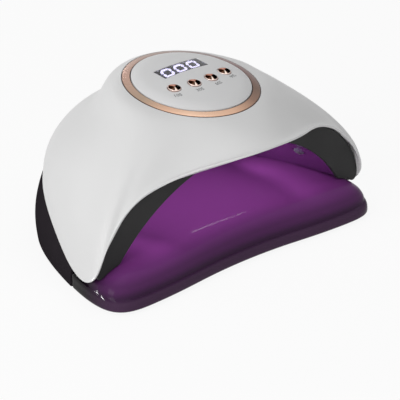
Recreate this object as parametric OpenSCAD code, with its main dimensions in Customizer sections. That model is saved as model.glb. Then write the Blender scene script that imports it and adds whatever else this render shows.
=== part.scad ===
// UV nail lamp: a white hood on a dark skirt that stands on a purple tray.
// Millimetres, Z up, the hand opening faces -Y, the tray's feet stand on z = 0.

/* [Hood] */
// wall thickness of the white hood
hood_wall = 2.2; // [1.8:0.1:2.6]
// thickness of the hood's visible rim
hood_rim = 1.4; // [1.2:0.1:2]
// mesh steps along the rim for each control point
hood_steps = 3; // [2:1:4]

/* [Control panel] */
// height of the panel's middle above the table
panel_top = 110.8; // [110.3:0.1:111]
// distance of the panel's middle in front of the lamp's centre
panel_forward = 19.9; // [19.5:0.1:20.3]
// lean of the panel towards the user, in degrees
panel_tilt = 9.6; // [9.2:0.1:10]
// radius of the panel
panel_r = 37.4; // [37:0.1:37.5]
// radius of the panel's shallow dome
dome_r = 190; // [170:5:220]
// outer radius of the trim ring
ring_r = 43; // [42.6:0.1:43.1]
// inner radius of the trim ring
ring_inner_r = 37.8; // [37.7:0.1:38.2]
// width of the display window
window_w = 36; // [32:1:37]
// depth of the display window
window_d = 10.8; // [9:0.2:11]
// diameter of the four buttons
button_d = 8.2; // [7.6:0.1:8.2]
// press of a button
button_travel = 0.6; // [0.4:0.1:0.6]

/* [Hand opening] */
// radius of the round opening
arch_r = 115; // [114:0.5:115.5]
// height of the opening's centre, below the table
arch_z = -42; // [-42.5:0.5:-41.5]
// thickness of the charcoal plate
bezel_t = 2.4; // [2:0.1:2.6]
// forward lean of the charcoal plate, in degrees
bezel_lean = 5.72; // [5.5:0.1:6]
// length of the reflector's half ellipse
liner_len = 165.7; // [163:0.5:167]
// thickness of the reflector
liner_t = 1.6; // [1.4:0.1:1.8]
// diameter of a lamp hole in the reflector
led_hole = 7.2; // [7:0.1:7.6]

/* [Tray] */
// height of the tray's flat floor
tray_top = 24.6; // [24.2:0.1:24.7]
// wall of the tray
tray_wall = 2.2; // [2:0.1:2.4]
// thickness of the rubber feet
foot_h = 1.5; // [1:0.1:1.5]
// diameter of the rubber feet
foot_d = 14; // [10:1:16]

/* [Skirt] */
// wall of the dark skirt
skirt_wall = 2.2; // [1.8:0.1:2.4]
// how far the skirt bulges in the middle
skirt_bulge = 1.5; // [1:0.1:1.8]

/* [Hidden] */
$fn = 64;
gap = 0.3;
frame_z = 25.4;
frame_t = 2.4;
ledge_z = -10;
board_z = -18;
board_t = 1.6;
wire_d = 1.6;
button_xy = [[-21, -6.6], [-7, -9.4], [7, -9.4], [21, -6.6]];
button_hole = button_d + 2 * gap;
window_y = 10.2;
board_post = [[25.6, 18.8], [25.6, -18], [-25.6, 18.8], [-25.6, -18]];
// rows of lamps: distance from the centre, number, angle between two
led_rows = [[-38, 7, 14], [-10, 7, 13], [16, 5, 17], [40, 5, 13.5], [58, 3, 12]];
magnet_d = 5;
magnet_xy = [[98.7, -34], [91.2, -7], [25, 74.8]];
tray_magnet_xy = [[98, -34], [89.4, -7], [24.5, 73.8]];
liner_ear = [[94.5, -20, 87.4], [14, 78.2, 0]];
sensor_xy = [15, -49.5];
sensor_d = 4.6;
foot_xy = [[80, -52], [52, 46]];
tray_screw_xy = [[62, -44], [40, 52]];

// The hood's lower edge from the middle of the brim to the middle of the back, right half.
hood_edge = [
    [0, -93.9, 85.2], [16, -92.4, 84.8], [32, -86, 82.5], [48, -76, 78.6], [64, -67.5, 73.5],
    [80, -62.5, 66.8], [93.5, -61, 58], [104.4, -61, 46.5], [112, -61.5, 32.3], [115, -57, 19.6],
    [110.6, -42.5, 12.3], [105.5, -27, 13.5], [100.5, -13.5, 18], [94, 3, 27], [86, 20.5, 36],
    [74.5, 38, 43.5], [58, 54, 48.5], [39, 68, 51.5], [20, 78, 53], [0, 82, 53.5]];
// The direction, seen from above, of the panel's rim that each edge point is joined to.
rim_angle = [-90, -80, -70, -60, -50, -41, -34, -28, -22, -15, -7, 1, 9, 18, 28, 39, 51, 64, 77, 90];
// Between panel rim and edge: the share of the way out and the height of five rings,
// at seven stations round the hood.
station = [0, 5, 8, 10, 12.5, 15.5, 19];
way_out = [
    [0.12, 0.30, 0.50, 0.70, 0.88], [0.12, 0.30, 0.50, 0.70, 0.88], [0.12, 0.30, 0.55, 0.80, 0.96],
    [0.14, 0.30, 0.55, 0.82, 0.97], [0.18, 0.32, 0.55, 0.84, 0.98], [0.21, 0.33, 0.56, 0.85, 0.98],
    [0.20, 0.33, 0.58, 0.86, 0.98]];
height = [
    [95, 93, 90.6, 88, 86], [97.3, 93, 86.5, 78.5, 71], [99.8, 91.5, 78, 60.5, 44],
    [101.8, 93, 78, 57.5, 36], [105, 92.5, 83.5, 68.5, 44], [106.6, 89.3, 80, 68, 58.5],
    [107.3, 90.5, 83, 71, 61.3]];
// The foot line of the skirt, right half, from before its front end to the middle of the back.
skirt_first = 10;
skirt_foot = [
    [109.5, -41, 1.6], [105.4, -27, 1.6], [100.9, -13, 1.6], [94.3, 5, 1.6], [85.8, 24, 1.6],
    [75, 43, 1.6], [59.5, 62, 1.6], [41, 78.2, 1.6], [21, 89.2, 1.6], [0, 95.6, 1.6]];
skirt_start = 11.3;
// The tray seen from above: its outline and the edge of its flat floor, right half.
tray_line = [
    [0, -70.2], [18, -70.6], [36, -72], [54, -74.2], [70, -75.5], [84, -76.1], [96.5, -76.2],
    [106.3, -73], [111, -65.5], [111.5, -56], [110, -45], [107.6, -35], [105, -26], [103.5, -20]];
floor_line = [
    [0, -46], [17, -46.5], [34, -48], [50, -50], [64, -51], [76, -51], [84, -50],
    [88, -48], [90, -45], [91, -40], [91, -35], [90, -30], [89, -25], [88, -20]];
// Sections of the tray from its foot to its floor and back inside: inset, height.
front_section = [
    [1.2, 1.5], [0, 3], [0, 6.4], [1, 8.2], [2.6, 8.8], [3.6, 13], [6.2, 17.6], [10.5, 21.6],
    [16, 23.9], [23, 24.6], [23, 22.4], [15.5, 21.2], [9.4, 18], [5.8, 12.5], [3.6, 8], [3.4, 1.5]];
side_section = [
    [1, 1.5], [0, 3], [0, 6.5], [0, 9], [0.3, 11.2], [1.1, 13.9], [2.8, 17], [6.2, 20.3], [11, 22.8],
    [18, 24.6], [18, 22.4], [10.5, 20.2], [6.4, 17.4], [3.6, 12.4], [2.3, 6], [3.2, 1.5]];
covered_section = [
    [1, 1.5], [0, 3], [0, 6.5], [0, 9], [0.3, 10.6], [2.1, 11.8], [2.9, 16], [4.4, 20.3],
    [8.5, 23], [18, 24.6], [18, 22.4], [9.6, 20.7], [5.8, 17.5], [4.3, 11.4], [2.6, 7.5], [3.2, 1.5]];
rear_section = [
    [0.3, 1.5], [0, 2.5], [0, 7], [0, 11], [0, 15], [0, 19], [0, 22.6], [0.5, 24], [1.6, 24.6],
    [10, 24.6], [10, 22.4], [4, 22.4], [2.4, 20.5], [2.3, 12], [2.3, 6], [2.5, 1.5]];

// smooth curves through control points
function weights(f) = [
    pow(1 - f, 3) / 6,
    (3 * pow(f, 3) - 6 * f * f + 4) / 6,
    (-3 * pow(f, 3) + 3 * f * f + 3 * f + 1) / 6,
    pow(f, 3) / 6];
function mirrored(p, s) = [for (i = [0 : len(p) - 1]) i == 0 ? s * p[0] : p[i]];
function control(list, k) =
    let (n = len(list), over = k > n - 1, j = k < 0 ? -k : over ? 2 * (n - 1) - k : k)
    mirrored(list[j], k < 0 || over ? -1 : 1);
function curve(list, u) =
    let (i = min(floor(u), len(list) - 2), w = weights(u - i))
    w[0] * control(list, i - 1) + w[1] * control(list, i)
    + w[2] * control(list, i + 1) + w[3] * control(list, i + 2);
// open curve: the last control point only steers it
function run(list, u) =
    let (i = floor(u), w = weights(u - i), last = len(list) - 1)
    w[0] * control(list, i - 1) + w[1] * list[min(i, last)]
    + w[2] * list[min(i + 1, last)] + w[3] * list[min(i + 2, last)];
function ease(f) = f * f * (3 - 2 * f);
function between(table, u, i = 0) =
    i == len(station) - 2 || u < station[i + 1]
    ? let (f = ease((u - station[i]) / (station[i + 1] - station[i])))
        table[i] * (1 - f) + table[i + 1] * f
    : between(table, u, i + 1);

// the panel's own frame: origin on top of the dome, z along the panel's normal
function from_panel(p) = [
    p[0],
    -panel_forward + p[1] * cos(panel_tilt) - p[2] * sin(panel_tilt),
    panel_top + p[1] * sin(panel_tilt) + p[2] * cos(panel_tilt)];
seat_r = ring_r + gap;
seat_z = -7;
function rim_point(a, r = seat_r, z = seat_z) = from_panel([r * cos(a), r * sin(a), z]);

// the hood's surface: u runs round the edge, t from the panel's rim (0) to the edge (6)
rim_list = [for (a = rim_angle) abs(a) == 90 ? [0, sign(a), 0] : [cos(a), sin(a), 0]];
function rim_at(u) = let (p = curve(rim_list, u)) atan2(p[1], p[0]);
function ring_list(j) = [for (k = [0 : len(hood_edge) - 1])
    let (r = rim_point(rim_angle[k]), f = between(way_out, k)[j], z = between(height, k)[j])
    [r[0] + (hood_edge[k][0] - r[0]) * f, r[1] + (hood_edge[k][1] - r[1]) * f, z]];
hood_rings = [for (j = [0 : 4]) ring_list(j)];
function spokes(u) = let (
    rim = rim_point(rim_at(u)),
    inner = [for (j = [0 : 4]) curve(hood_rings[j], u)],
    edge = curve(hood_edge, u))
    [2 * rim - inner[0], rim, each inner, edge, 2 * edge - inner[4]];
function on_spokes(s, t) = let (i = min(floor(t), 5), w = weights(t - i))
    w[0] * s[i] + w[1] * s[i + 1] + w[2] * s[i + 2] + w[3] * s[i + 3];
function unit(v) = v / norm(v);
function hood_inner(s, s_next, t, wall) = let (
    a = max(t - 0.05, 0),
    b = min(t + 0.05, 6),
    along = on_spokes(s_next, t) - on_spokes(s, t),
    across = on_spokes(s, b) - on_spokes(s, a))
    on_spokes(s, t) - unit(cross(across, along)) * wall;
outer_t = [0, 0.5, 1, 1.5, 2, 2.5, 3, 3.5, 4, 4.5, 5, 5.5, 6];
inner_t = [6, 5.2, 4.4, 3.6, 2.8, 1.9, 1];
function hood_column(u, flip) = let (
    s = spokes(u),
    n = spokes(u + 0.02),
    a = rim_at(u),
    pts = [
        each [for (t = outer_t) on_spokes(s, t)],
        each [for (t = inner_t) hood_inner(s, n, t, t == 6 ? hood_rim : hood_wall)],
        rim_point(a, seat_r + 1.5, ledge_z - 2),
        rim_point(a, 35, ledge_z - 2),
        rim_point(a, 35, ledge_z),
        rim_point(a, seat_r, ledge_z)])
    flip ? [for (p = pts) [-p[0], p[1], p[2]]] : pts;

// the skirt's outer face at a height z, and the tray's outline behind the skirt
function skirt_low(u) = curve(skirt_foot, u - skirt_first);
function skirt_face(u, f, inset = 0) = let (
    top = curve(hood_edge, u) - [0, 0, 0.4],
    low = skirt_low(u),
    ahead = curve(hood_edge, min(u + 0.05, 19)) - curve(hood_edge, min(u, 18.95)),
    out = unit([ahead[1], -ahead[0], 0]),
    p = top + (low - top) * f)
    p + out * (skirt_bulge * sin(180 * f) - 0.8 * (1 - f) - inset);
function skirt_at(u, z, inset) = let (top = curve(hood_edge, u)[2] - 0.4)
    skirt_face(u, max(0, min(1, (top - z) / (top - 1.6))), inset);

// a closed solid from columns of points that stand round a loop
module loop_solid(columns) {
    n = len(columns);
    m = len(columns[0]);
    points = [for (c = columns) each c];
    faces = [for (i = [0 : n - 1]) let (k = (i + 1) % n) for (j = [0 : m - 1]) let (l = (j + 1) % m)
        each [[i * m + j, k * m + j, k * m + l], [i * m + j, k * m + l, i * m + l]]];
    polyhedron(points, faces);
}

// a closed solid from columns that stand along an open path, with both ends closed
module path_solid(columns) {
    n = len(columns);
    m = len(columns[0]);
    points = [for (c = columns) each c];
    sides = [for (i = [0 : n - 2]) for (j = [0 : m - 1]) let (l = (j + 1) % m)
        each [[i * m + j, (i + 1) * m + j, (i + 1) * m + l], [i * m + j, (i + 1) * m + l, i * m + l]]];
    first = [for (j = [1 : m - 2]) [0, j, j + 1]];
    last = [for (j = [1 : m - 2]) [(n - 1) * m, (n - 1) * m + j + 1, (n - 1) * m + j]];
    polyhedron(points, [each sides, each first, each last]);
}

module on_panel() {
    translate([0, -panel_forward, panel_top]) rotate([panel_tilt, 0, 0]) children();
}

module both_sides() {
    children();
    mirror([1, 0, 0]) children();
}

function dome(r) = -r * r / (2 * dome_r) - (r > 30 ? pow((r - 30) / (panel_r - 30), 2) * 1.6 : 0);

module top_shell() {
    half = 19 * hood_steps;
    color("white") loop_solid([
        each [for (i = [0 : half]) hood_column(i / hood_steps, false)],
        each [for (i = [half - 1 : -1 : 1]) hood_column(i / hood_steps, true)]]);
}

module lower_housing() {
    us = [for (i = [0 : 15]) skirt_start + (19 - skirt_start) * i / 15];
    function column(u, s) = [for (p = [
        for (f = [0, 0.2, 0.4, 0.6, 0.8, 1]) skirt_face(u, f),
        for (f = [1, 0.66, 0.33, 0]) skirt_face(u, f, skirt_wall)]) [s * p[0], p[1], p[2]]];
    color("#282528") difference() {
        path_solid([
            each [for (u = us) column(u, 1)],
            each [for (i = [len(us) - 2 : -1 : 0]) column(us[i], -1)]]);
        translate([0, 70, 36]) rotate([-90, 0, 0]) cylinder(d = 11, h = 30);
    }
}

module arch_bezel() {
    k = cos(bezel_lean);
    foot = [[94, 24.4], [98, 23.4], [102, 21.9], [104, 21], [106, 19.9], [108, 18.9]];
    side = [
        [109.8, 19.4], [110.3, 23], [107.9, 33.6], [105, 40], [100.2, 46.4], [95, 52], [91.4, 55.5],
        [86.2, 59.6], [79.5, 64], [73, 67.4], [67.1, 70], [61.1, 72.6], [55.1, 75.4], [49.7, 78.3],
        [44.5, 81], [39.3, 83.7], [34.6, 86], [30.2, 87.9], [25.7, 89.4], [18.2, 90.3],
        [10.6, 90.5], [0, 90.6]];
    rim = [for (p = side) p + unit(p - [0, 20]) * 0.55];
    color("#303030") difference() {
        translate([0, -54.15, 0]) rotate([90 + bezel_lean, 0, 0]) translate([0, 0, -bezel_t])
            linear_extrude(bezel_t)
                polygon([
                    each [for (p = foot) [p[0], p[1] / k]],
                    for (p = rim) [p[0], p[1] / k],
                    for (i = [len(rim) - 2 : -1 : 0]) [-rim[i][0], rim[i][1] / k],
                    each [for (i = [len(foot) - 1 : -1 : 0]) [-foot[i][0], foot[i][1] / k]],
                    [0, 0]]);
        arch_hole();
    }
}

module arch_hole() {
    translate([0, -80, arch_z]) rotate([-90, 0, 0]) cylinder(r = arch_r, h = 60, $fn = 180);
}

// radius of the reflector at a distance y from the lamp's centre
function liner_r(y) = arch_r * sqrt(1 - pow((y + 60) / liner_len, 2));
function liner_slope(y) = atan(pow(arch_r / liner_len, 2) * (y + 60) / liner_r(y));

module along_y() {
    translate([0, 0, arch_z]) rotate([-90, 0, 0]) children();
}

module behind_bezel() {
    translate([-150, -54.15, 0]) rotate([bezel_lean, 0, 0]) translate([0, bezel_t + 0.1, -20])
        cube([300, 200, 180]);
}

module led_places() {
    for (row = led_rows)
        for (i = [0 : row[1] - 1])
            translate([0, 0, arch_z]) rotate([0, (i - (row[1] - 1) / 2) * row[2], 0])
                translate([0, row[0], liner_r(row[0])]) rotate([-liner_slope(row[0]), 0, 0])
                    children();
}

module reflector_liner() {
    ys = [-62, -50, -38, -26, -14, -2, 10, 22, 34, 46, 56, 66, 74, 82];
    color("#f2f2f4") difference() {
        union() {
            intersection() {
                along_y() rotate_extrude($fn = 180) polygon([
                    for (y = ys) [liner_r(y), y],
                    for (i = [len(ys) - 1 : -1 : 0]) [liner_r(ys[i]) + liner_t, ys[i]]]);
                translate([-120, -70, 26.3]) cube([240, 170, 60]);
                behind_bezel();
            }
            both_sides() {
                translate([liner_ear[0][2], liner_ear[0][1] - 3.5, 28])
                    cube([liner_ear[0][0] - liner_ear[0][2], 7, 4]);
                translate([liner_ear[0][0], liner_ear[0][1], 28]) cylinder(d = 7, h = 4);
                translate([liner_ear[1][0] - 3.5, 70.6, 28]) cube([7, liner_ear[1][1] - 70.6, 3]);
                translate([liner_ear[1][0], liner_ear[1][1], 28]) cylinder(d = 7, h = 4);
            }
        }
        both_sides() for (e = liner_ear) translate([e[0], e[1], 27]) cylinder(d = 2.4, h = 6);
        led_places() translate([0, 0, -4]) cylinder(d = led_hole, h = 9);
        both_sides() translate([sensor_xy[0], sensor_xy[1], 68])
            cylinder(d = sensor_d + 2 * gap, h = 9);
    }
}

module led_lenses() {
    color("#e8eef6") led_places() {
        translate([0, 0, -0.2]) cylinder(d = led_hole - 0.6, h = 2.1);
        translate([0, 0, -1.3]) cylinder(d1 = 3.4, d2 = led_hole - 0.6, h = 1.1);
    }
}

module led_strips() {
    color("#d8d4c8") for (row = led_rows) intersection() {
        along_y() rotate_extrude($fn = 180) polygon([
            for (p = [[-4.5, 2.3], [4.5, 2.3], [4.5, 3.3], [-4.5, 3.3]])
                [liner_r(row[0] + p[0]) + p[1] / cos(liner_slope(row[0])), row[0] + p[0]]]);
        translate([-120, -70, arch_z + liner_r(row[0]) * cos(row[2] * (row[1] - 1) / 2 + 6)])
            cube([240, 170, 160]);
    }
}

module ir_sensors() {
    color("#1c1a20") both_sides() translate([sensor_xy[0], sensor_xy[1], 0]) {
        translate([0, 0, 70.6]) cylinder(d = sensor_d, h = 7);
        translate([0, 0, 77.6]) cylinder(d = 6.4, h = 2);
    }
}

function liner_edge(y, more) = let (r = liner_r(y) + liner_t + more, z = 26.3 - arch_z)
    sqrt(max(0, r * r - z * z));

module inner_frame() {
    outer = [
        [104, -48], [103.5, -38], [101.3, -27], [97.2, -14.5],
        for (u = [13 : 0.5 : 19]) let (p = skirt_at(u, 27, 3.2)) [p[0], p[1]]];
    inner = [for (y = [-48, -40, -32, -24, -16, -8, 0, 8, 16, 24, 32, 40, 48, 55, 61, 66, 70, 72.5, 74.2])
        [liner_edge(y, 0.7), y]];
    color("#8a8a8e") difference() {
        translate([0, 0, frame_z]) linear_extrude(frame_t) polygon([
            for (p = outer) p,
            for (i = [len(outer) - 2 : -1 : 0]) [-outer[i][0], outer[i][1]],
            for (p = inner) [-p[0], p[1]],
            [0, 76.4],
            for (i = [len(inner) - 1 : -1 : 0]) inner[i]]);
        both_sides() {
            for (m = magnet_xy) translate([m[0], m[1], frame_z - 1]) cylinder(d = magnet_d + 0.1, h = 5);
            for (e = liner_ear) {
                translate([e[0], e[1], frame_z - 1]) cylinder(d = 4.8, h = 2.3);
                translate([e[0], e[1], frame_z - 1]) cylinder(d = 2.6, h = 5);
            }
        }
    }
}

module liner_screws() {
    color("silver") both_sides() for (e = liner_ear) difference() {
        union() {
            translate([e[0], e[1], frame_z + 0.1]) cylinder(d = 4.5, h = 1.1);
            translate([e[0], e[1], frame_z + 0.2]) cylinder(d = 2.2, h = 6);
        }
        translate([e[0] - 1.5, e[1] - 0.3, frame_z - 1]) cube([3, 0.6, 1.7]);
    }
}

module housing_magnets() {
    color("#b8bcc2") both_sides() for (m = magnet_xy)
        translate([m[0], m[1], frame_z + 0.05]) cylinder(d = magnet_d, h = 2.3);
}

module dc_jack() {
    color("#1a1a1c") {
        difference() {
            union() {
                translate([-5.5, 74, 28]) cube([11, 7.2, 12.5]);
                translate([0, 81, 36]) rotate([-90, 0, 0]) cylinder(d = 10, h = 4.2);
            }
            translate([0, 77, 36]) rotate([-90, 0, 0]) cylinder(d = 6.3, h = 12);
        }
    }
    color("#c8a850") translate([0, 76.5, 36]) rotate([-90, 0, 0]) cylinder(d = 2, h = 9);
}

module trim_ring() {
    color("#c98f73") on_panel() rotate_extrude($fn = 180) polygon([
        [ring_inner_r, -9.9], [ring_r, -9.9], [ring_r, -7.3], [ring_r - 0.5, -6.7],
        [ring_inner_r + 0.5, -5.7], [ring_inner_r, -6]]);
}

module dome_plate(top, bottom, step) {
    rotate_extrude($fn = 128) polygon([
        [0, top], for (r = [step : step : 30]) [r, dome(r) + top],
        for (r = [32, 34, 36, panel_r]) [r, dome(r) + top],
        [panel_r, ledge_z + 0.1], [panel_r - 2, ledge_z + 0.1],
        [panel_r - 2, dome(panel_r - 2) + bottom - 0.8],
        for (r = [30 : -step : step]) [r, dome(r) + bottom], [0, bottom]]);
}

module control_panel() {
    color("white") on_panel() difference() {
        union() {
            dome_plate(0, -2.2, 6);
            for (p = board_post) translate([p[0], p[1], board_z + board_t + 0.1])
                cylinder(d = 5.6, h = 13);
        }
        translate([-window_w / 2 - 0.15, window_y - window_d / 2 - 0.15, -6])
            cube([window_w + 0.3, window_d + 0.3, 8]);
        for (b = button_xy) translate([b[0], b[1], -6]) cylinder(d = button_hole, h = 8);
        for (p = board_post) translate([p[0], p[1], board_z]) cylinder(d = 2.3, h = 8);
    }
}

module display_window() {
    color("#3a3a40") on_panel() intersection() {
        dome_plate(-0.1, -1.9, 6);
        translate([-window_w / 2, window_y - window_d / 2, -6]) cube([window_w, window_d, 8]);
    }
}

module display_module() {
    color("#202024") on_panel() {
        translate([-16.5, window_y - 5, -11]) cube([33, 10, 6.9]);
        for (s = [-1, 1]) translate([-13, window_y + s * 4 - 0.4, board_z + board_t + 0.1])
            cube([26, 0.8, 6]);
    }
}

// one button: a shallow cone with a flange under the panel and a stem that ends
// a gap and the press above its switch
stem_end = board_z + board_t + 4.4 + gap + button_travel;
module button(i) {
    x = button_xy[i][0];
    y = button_xy[i][1];
    z = dome(norm(button_xy[i]));
    color("#c9937a") on_panel() translate([x, y, z]) {
        translate([0, 0, 0.35]) cylinder(d1 = button_d, d2 = 1.4, h = 0.6);
        translate([0, 0, -3.3]) cylinder(d = button_d, h = 3.65);
        translate([0, 0, -4.3]) cylinder(d = 10.4, h = 1.01);
        translate([0, 0, stem_end - z]) cylinder(d = 3.4, h = 8);
    }
}

module button_10s() {
    button(0);
}

module button_30s() {
    button(1);
}

module button_60s() {
    button(2);
}

module button_99s() {
    button(3);
}

module tact_switches() {
    color("#2a2a2e") on_panel() for (b = button_xy) translate([b[0], b[1], board_z + board_t + 0.1]) {
        translate([-3, -3, 0]) cube([6, 6, 3.3]);
        translate([0, 0, 3.2]) cylinder(d = 3.4, h = 1.1);
    }
}

module main_board() {
    color("#1f6b3a") on_panel() difference() {
        translate([-31, -23, board_z]) cube([62, 46, board_t]);
        for (p = board_post) translate([p[0], p[1], board_z - 1]) cylinder(d = 2.6, h = 4);
    }
}

module board_components() {
    color("#2c2c30") on_panel() translate([0, 0, board_z - 0.1]) mirror([0, 0, 1]) {
        translate([-12, -8, 0]) cube([10, 10, 1.6]);
        translate([6, -10, 0]) cube([7, 5, 1.4]);
        translate([-6, 13, 0]) cube([12, 6, 6]);
        translate([18, 2, 0]) cylinder(d = 8, h = 9);
        translate([-20, 4, 0]) cylinder(d = 6.3, h = 7);
        translate([12, 8, 0]) cylinder(d = 5, h = 6);
        for (x = [-18, -14, -10]) translate([x, -17, 0]) cube([2, 1.2, 0.8]);
    }
}

module board_screws() {
    color("silver") on_panel() for (p = board_post) difference() {
        union() {
            translate([p[0], p[1], board_z - 1.7]) cylinder(d = 4.4, h = 1.6);
            translate([p[0], p[1], board_z - 0.2]) cylinder(d = 2.2, h = 7);
        }
        translate([p[0] - 1.5, p[1] - 0.3, board_z - 2]) cube([3, 0.6, 0.9]);
    }
}

// two wires that rise behind the reflector and run forward over it to the board
module wire_harness() {
    plug = from_panel([0, 16, board_z - 8]);
    front = plug[1] + 5;
    for (s = [-1, 1]) color(s > 0 ? "#a02020" : "#202020") translate([s * 1.6, 0, 0]) {
        translate([0, 66, 40]) wire_y(7.9);
        translate([0, 66, 46]) bend(6, 180);
        translate([0, 60, 46]) wire_z(22);
        translate([0, 54, 68]) bend(6, 0);
        translate([0, front, 74]) wire_y(54 - front);
        translate([0, front, 79]) bend(5, 180);
        translate([0, plug[1], 79]) wire_z(plug[2] - 78.5);
    }
    color("ivory") on_panel() translate([-4, 13.5, board_z - 9]) cube([8, 5, 2.8]);
}

module wire_z(h) {
    cylinder(d = wire_d, h = h, $fn = 24);
}

module wire_y(h) {
    rotate([-90, 0, 0]) wire_z(h);
}

// quarter bend of wire round the X axis, from the angle a on, as seen from +X with Y to the right
module bend(r, a) {
    rotate([90, 0, 90]) rotate([0, 0, a]) rotate_extrude(angle = 90, $fn = 48)
        translate([r, 0]) circle(d = wire_d, $fn = 24);
}

// stations round the tray: outline point, inner floor point and section
function mixed(a, b, f) = [for (i = [0 : len(a) - 1]) a[i] * (1 - f) + b[i] * f];
front_shares = [for (p = front_section) [p[0] / 23, p[1]]];
side_shares = [for (p = side_section) [p[0] / 18, p[1]]];
covered_shares = [for (p = covered_section) [p[0] / 18, p[1]]];
rear_shares = [for (p = rear_section) [p[0] / 10, p[1]]];
function tray_shares(u) =
    u < 5.5 ? front_shares
    : u < 9 ? mixed(front_shares, side_shares, ease((u - 5.5) / 3.5))
    : u < 10 ? mixed(side_shares, covered_shares, u - 9)
    : covered_shares;
function tray_column(line, floor_pt, shares, s) = [for (p = shares) [
    s * (line[0] + (floor_pt[0] - line[0]) * p[0]),
    line[1] + (floor_pt[1] - line[1]) * p[0],
    p[1]]];
function rear_pair(u) = let (a = skirt_at(u, tray_top, 2.9 + 0.4), b = skirt_at(u, tray_top, 13.3))
    [[a[0], a[1]], [b[0], b[1]]];
tray_stations = [
    for (u = [0 : 0.5 : 12]) [run(tray_line, u), run(floor_line, u), tray_shares(u)],
    [[104.3, -25], [89, -24], covered_shares],
    [[100.6, -24.1], [89, -21], rear_shares],
    [[97.2, -18.5], [87.8, -17.5], rear_shares],
    for (u = [12.3, 13, 13.5, 14, 14.5, 15, 15.5, 16, 16.5, 17, 17.5, 18, 18.5, 19])
        let (p = rear_pair(u)) [p[0], p[1], rear_shares]];

module tray_solid() {
    n = len(tray_stations);
    columns = [
        for (t = tray_stations) tray_column(t[0], t[1], t[2], 1),
        for (i = [n - 2 : -1 : 1]) let (t = tray_stations[i]) tray_column(t[0], t[1], t[2], -1)];
    m = len(columns[0]);
    half = 9;
    k = len(columns);
    points = [each [for (c = columns) each c], [0, -10, tray_top], [0, -10, tray_top - tray_wall]];
    sides = [for (i = [0 : k - 1]) let (j = (i + 1) % k) for (a = [0 : m - 1]) let (b = (a + 1) % m)
        if (a != half) each [[i * m + a, j * m + b, j * m + a], [i * m + a, i * m + b, j * m + b]]];
    caps = [for (i = [0 : k - 1]) let (j = (i + 1) % k) each [
        [i * m + half, k * m, j * m + half], [i * m + half + 1, j * m + half + 1, k * m + 1]]];
    polyhedron(points, [each sides, each caps]);
}

module base_tray() {
    color("#75387a") difference() {
        union() {
            tray_solid();
            both_sides() for (p = tray_screw_xy) translate([p[0], p[1], 3.5])
                cylinder(d = 8, h = tray_top - 1 - 3.5);
            both_sides() for (m = tray_magnet_xy) translate([m[0], m[1], 17.9])
                cylinder(d = magnet_d + 1.8, h = tray_top - 1 - 17.9);
        }
        both_sides() for (p = tray_screw_xy) translate([p[0], p[1], 3]) cylinder(d = 2.6, h = 12);
        both_sides() for (m = tray_magnet_xy) translate([m[0], m[1], 16])
            cylinder(d = magnet_d + 0.2, h = 4.2);
    }
}

module tray_bottom_plate() {
    line = [for (t = tray_stations) let (f = t[2] == rear_shares ? 0.32 : 3.9 / 20)
        t[0] + (t[1] - t[0]) * f];
    color("#2a262c") difference() {
        translate([0, 0, foot_h + 0.1]) linear_extrude(1.6) polygon([
            for (p = line) p,
            for (i = [len(line) - 2 : -1 : 1]) [-line[i][0], line[i][1]]]);
        both_sides() for (p = tray_screw_xy) {
            translate([p[0], p[1], 0]) cylinder(d = 3.2, h = 5);
            translate([p[0], p[1], 0]) cylinder(d = 5.8, h = 2.4);
        }
    }
}

module tray_magnets() {
    color("#b8bcc2") both_sides() for (m = tray_magnet_xy)
        translate([m[0], m[1], 18.1]) cylinder(d = magnet_d, h = 2);
}

module tray_screws() {
    color("silver") both_sides() for (p = tray_screw_xy) difference() {
        union() {
            translate([p[0], p[1], 1.2]) cylinder(d = 5.4, h = 1.1);
            translate([p[0], p[1], 1.3]) cylinder(d = 2.4, h = 10);
        }
        translate([p[0] - 2, p[1] - 0.4, 0]) cube([4, 0.8, 1.7]);
    }
}

module rubber_feet() {
    color("#1d1d1f") both_sides() for (p = foot_xy) translate([p[0], p[1], 0]) {
        cylinder(d1 = foot_d - 1, d2 = foot_d, h = 0.6);
        translate([0, 0, 0.6]) cylinder(d = foot_d, h = foot_h - 0.6);
    }
}

top_shell();
lower_housing();
arch_bezel();
reflector_liner();
led_lenses();
led_strips();
ir_sensors();
inner_frame();
liner_screws();
housing_magnets();
dc_jack();
wire_harness();
trim_ring();
control_panel();
display_window();
display_module();
button_10s();
button_30s();
button_60s();
button_99s();
tact_switches();
main_board();
board_components();
board_screws();
base_tray();
tray_bottom_plate();
tray_magnets();
tray_screws();
rubber_feet();
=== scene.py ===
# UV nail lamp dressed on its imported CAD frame: a white hood and a dark skirt over a purple tray.
# Sizes are millimetres in the lamp's own frame and become metres where a mesh is made.
import math

import bmesh
import bpy
import numpy as np
from mathutils import Matrix, Vector
from mathutils.geometry import delaunay_2d_cdt


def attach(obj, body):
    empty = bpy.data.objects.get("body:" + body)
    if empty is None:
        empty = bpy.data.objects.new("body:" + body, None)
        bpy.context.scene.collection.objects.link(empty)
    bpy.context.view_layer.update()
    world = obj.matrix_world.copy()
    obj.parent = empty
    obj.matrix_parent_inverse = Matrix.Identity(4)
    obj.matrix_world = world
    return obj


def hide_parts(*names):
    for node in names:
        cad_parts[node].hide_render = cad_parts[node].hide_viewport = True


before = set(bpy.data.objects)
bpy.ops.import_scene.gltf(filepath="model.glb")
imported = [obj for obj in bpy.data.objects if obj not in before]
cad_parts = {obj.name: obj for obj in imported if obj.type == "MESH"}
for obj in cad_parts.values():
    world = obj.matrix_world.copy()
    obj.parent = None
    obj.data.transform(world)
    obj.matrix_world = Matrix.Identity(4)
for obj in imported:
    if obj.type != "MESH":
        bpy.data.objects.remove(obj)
scene = bpy.context.scene
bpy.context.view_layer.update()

# Camera
# A long lens at the left front of the lamp that looks down at it, upright, with the middle of
# the hand opening near the middle of the square picture.
camera_turn = math.radians(43.63)
camera_height = math.radians(23.6)
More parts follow.
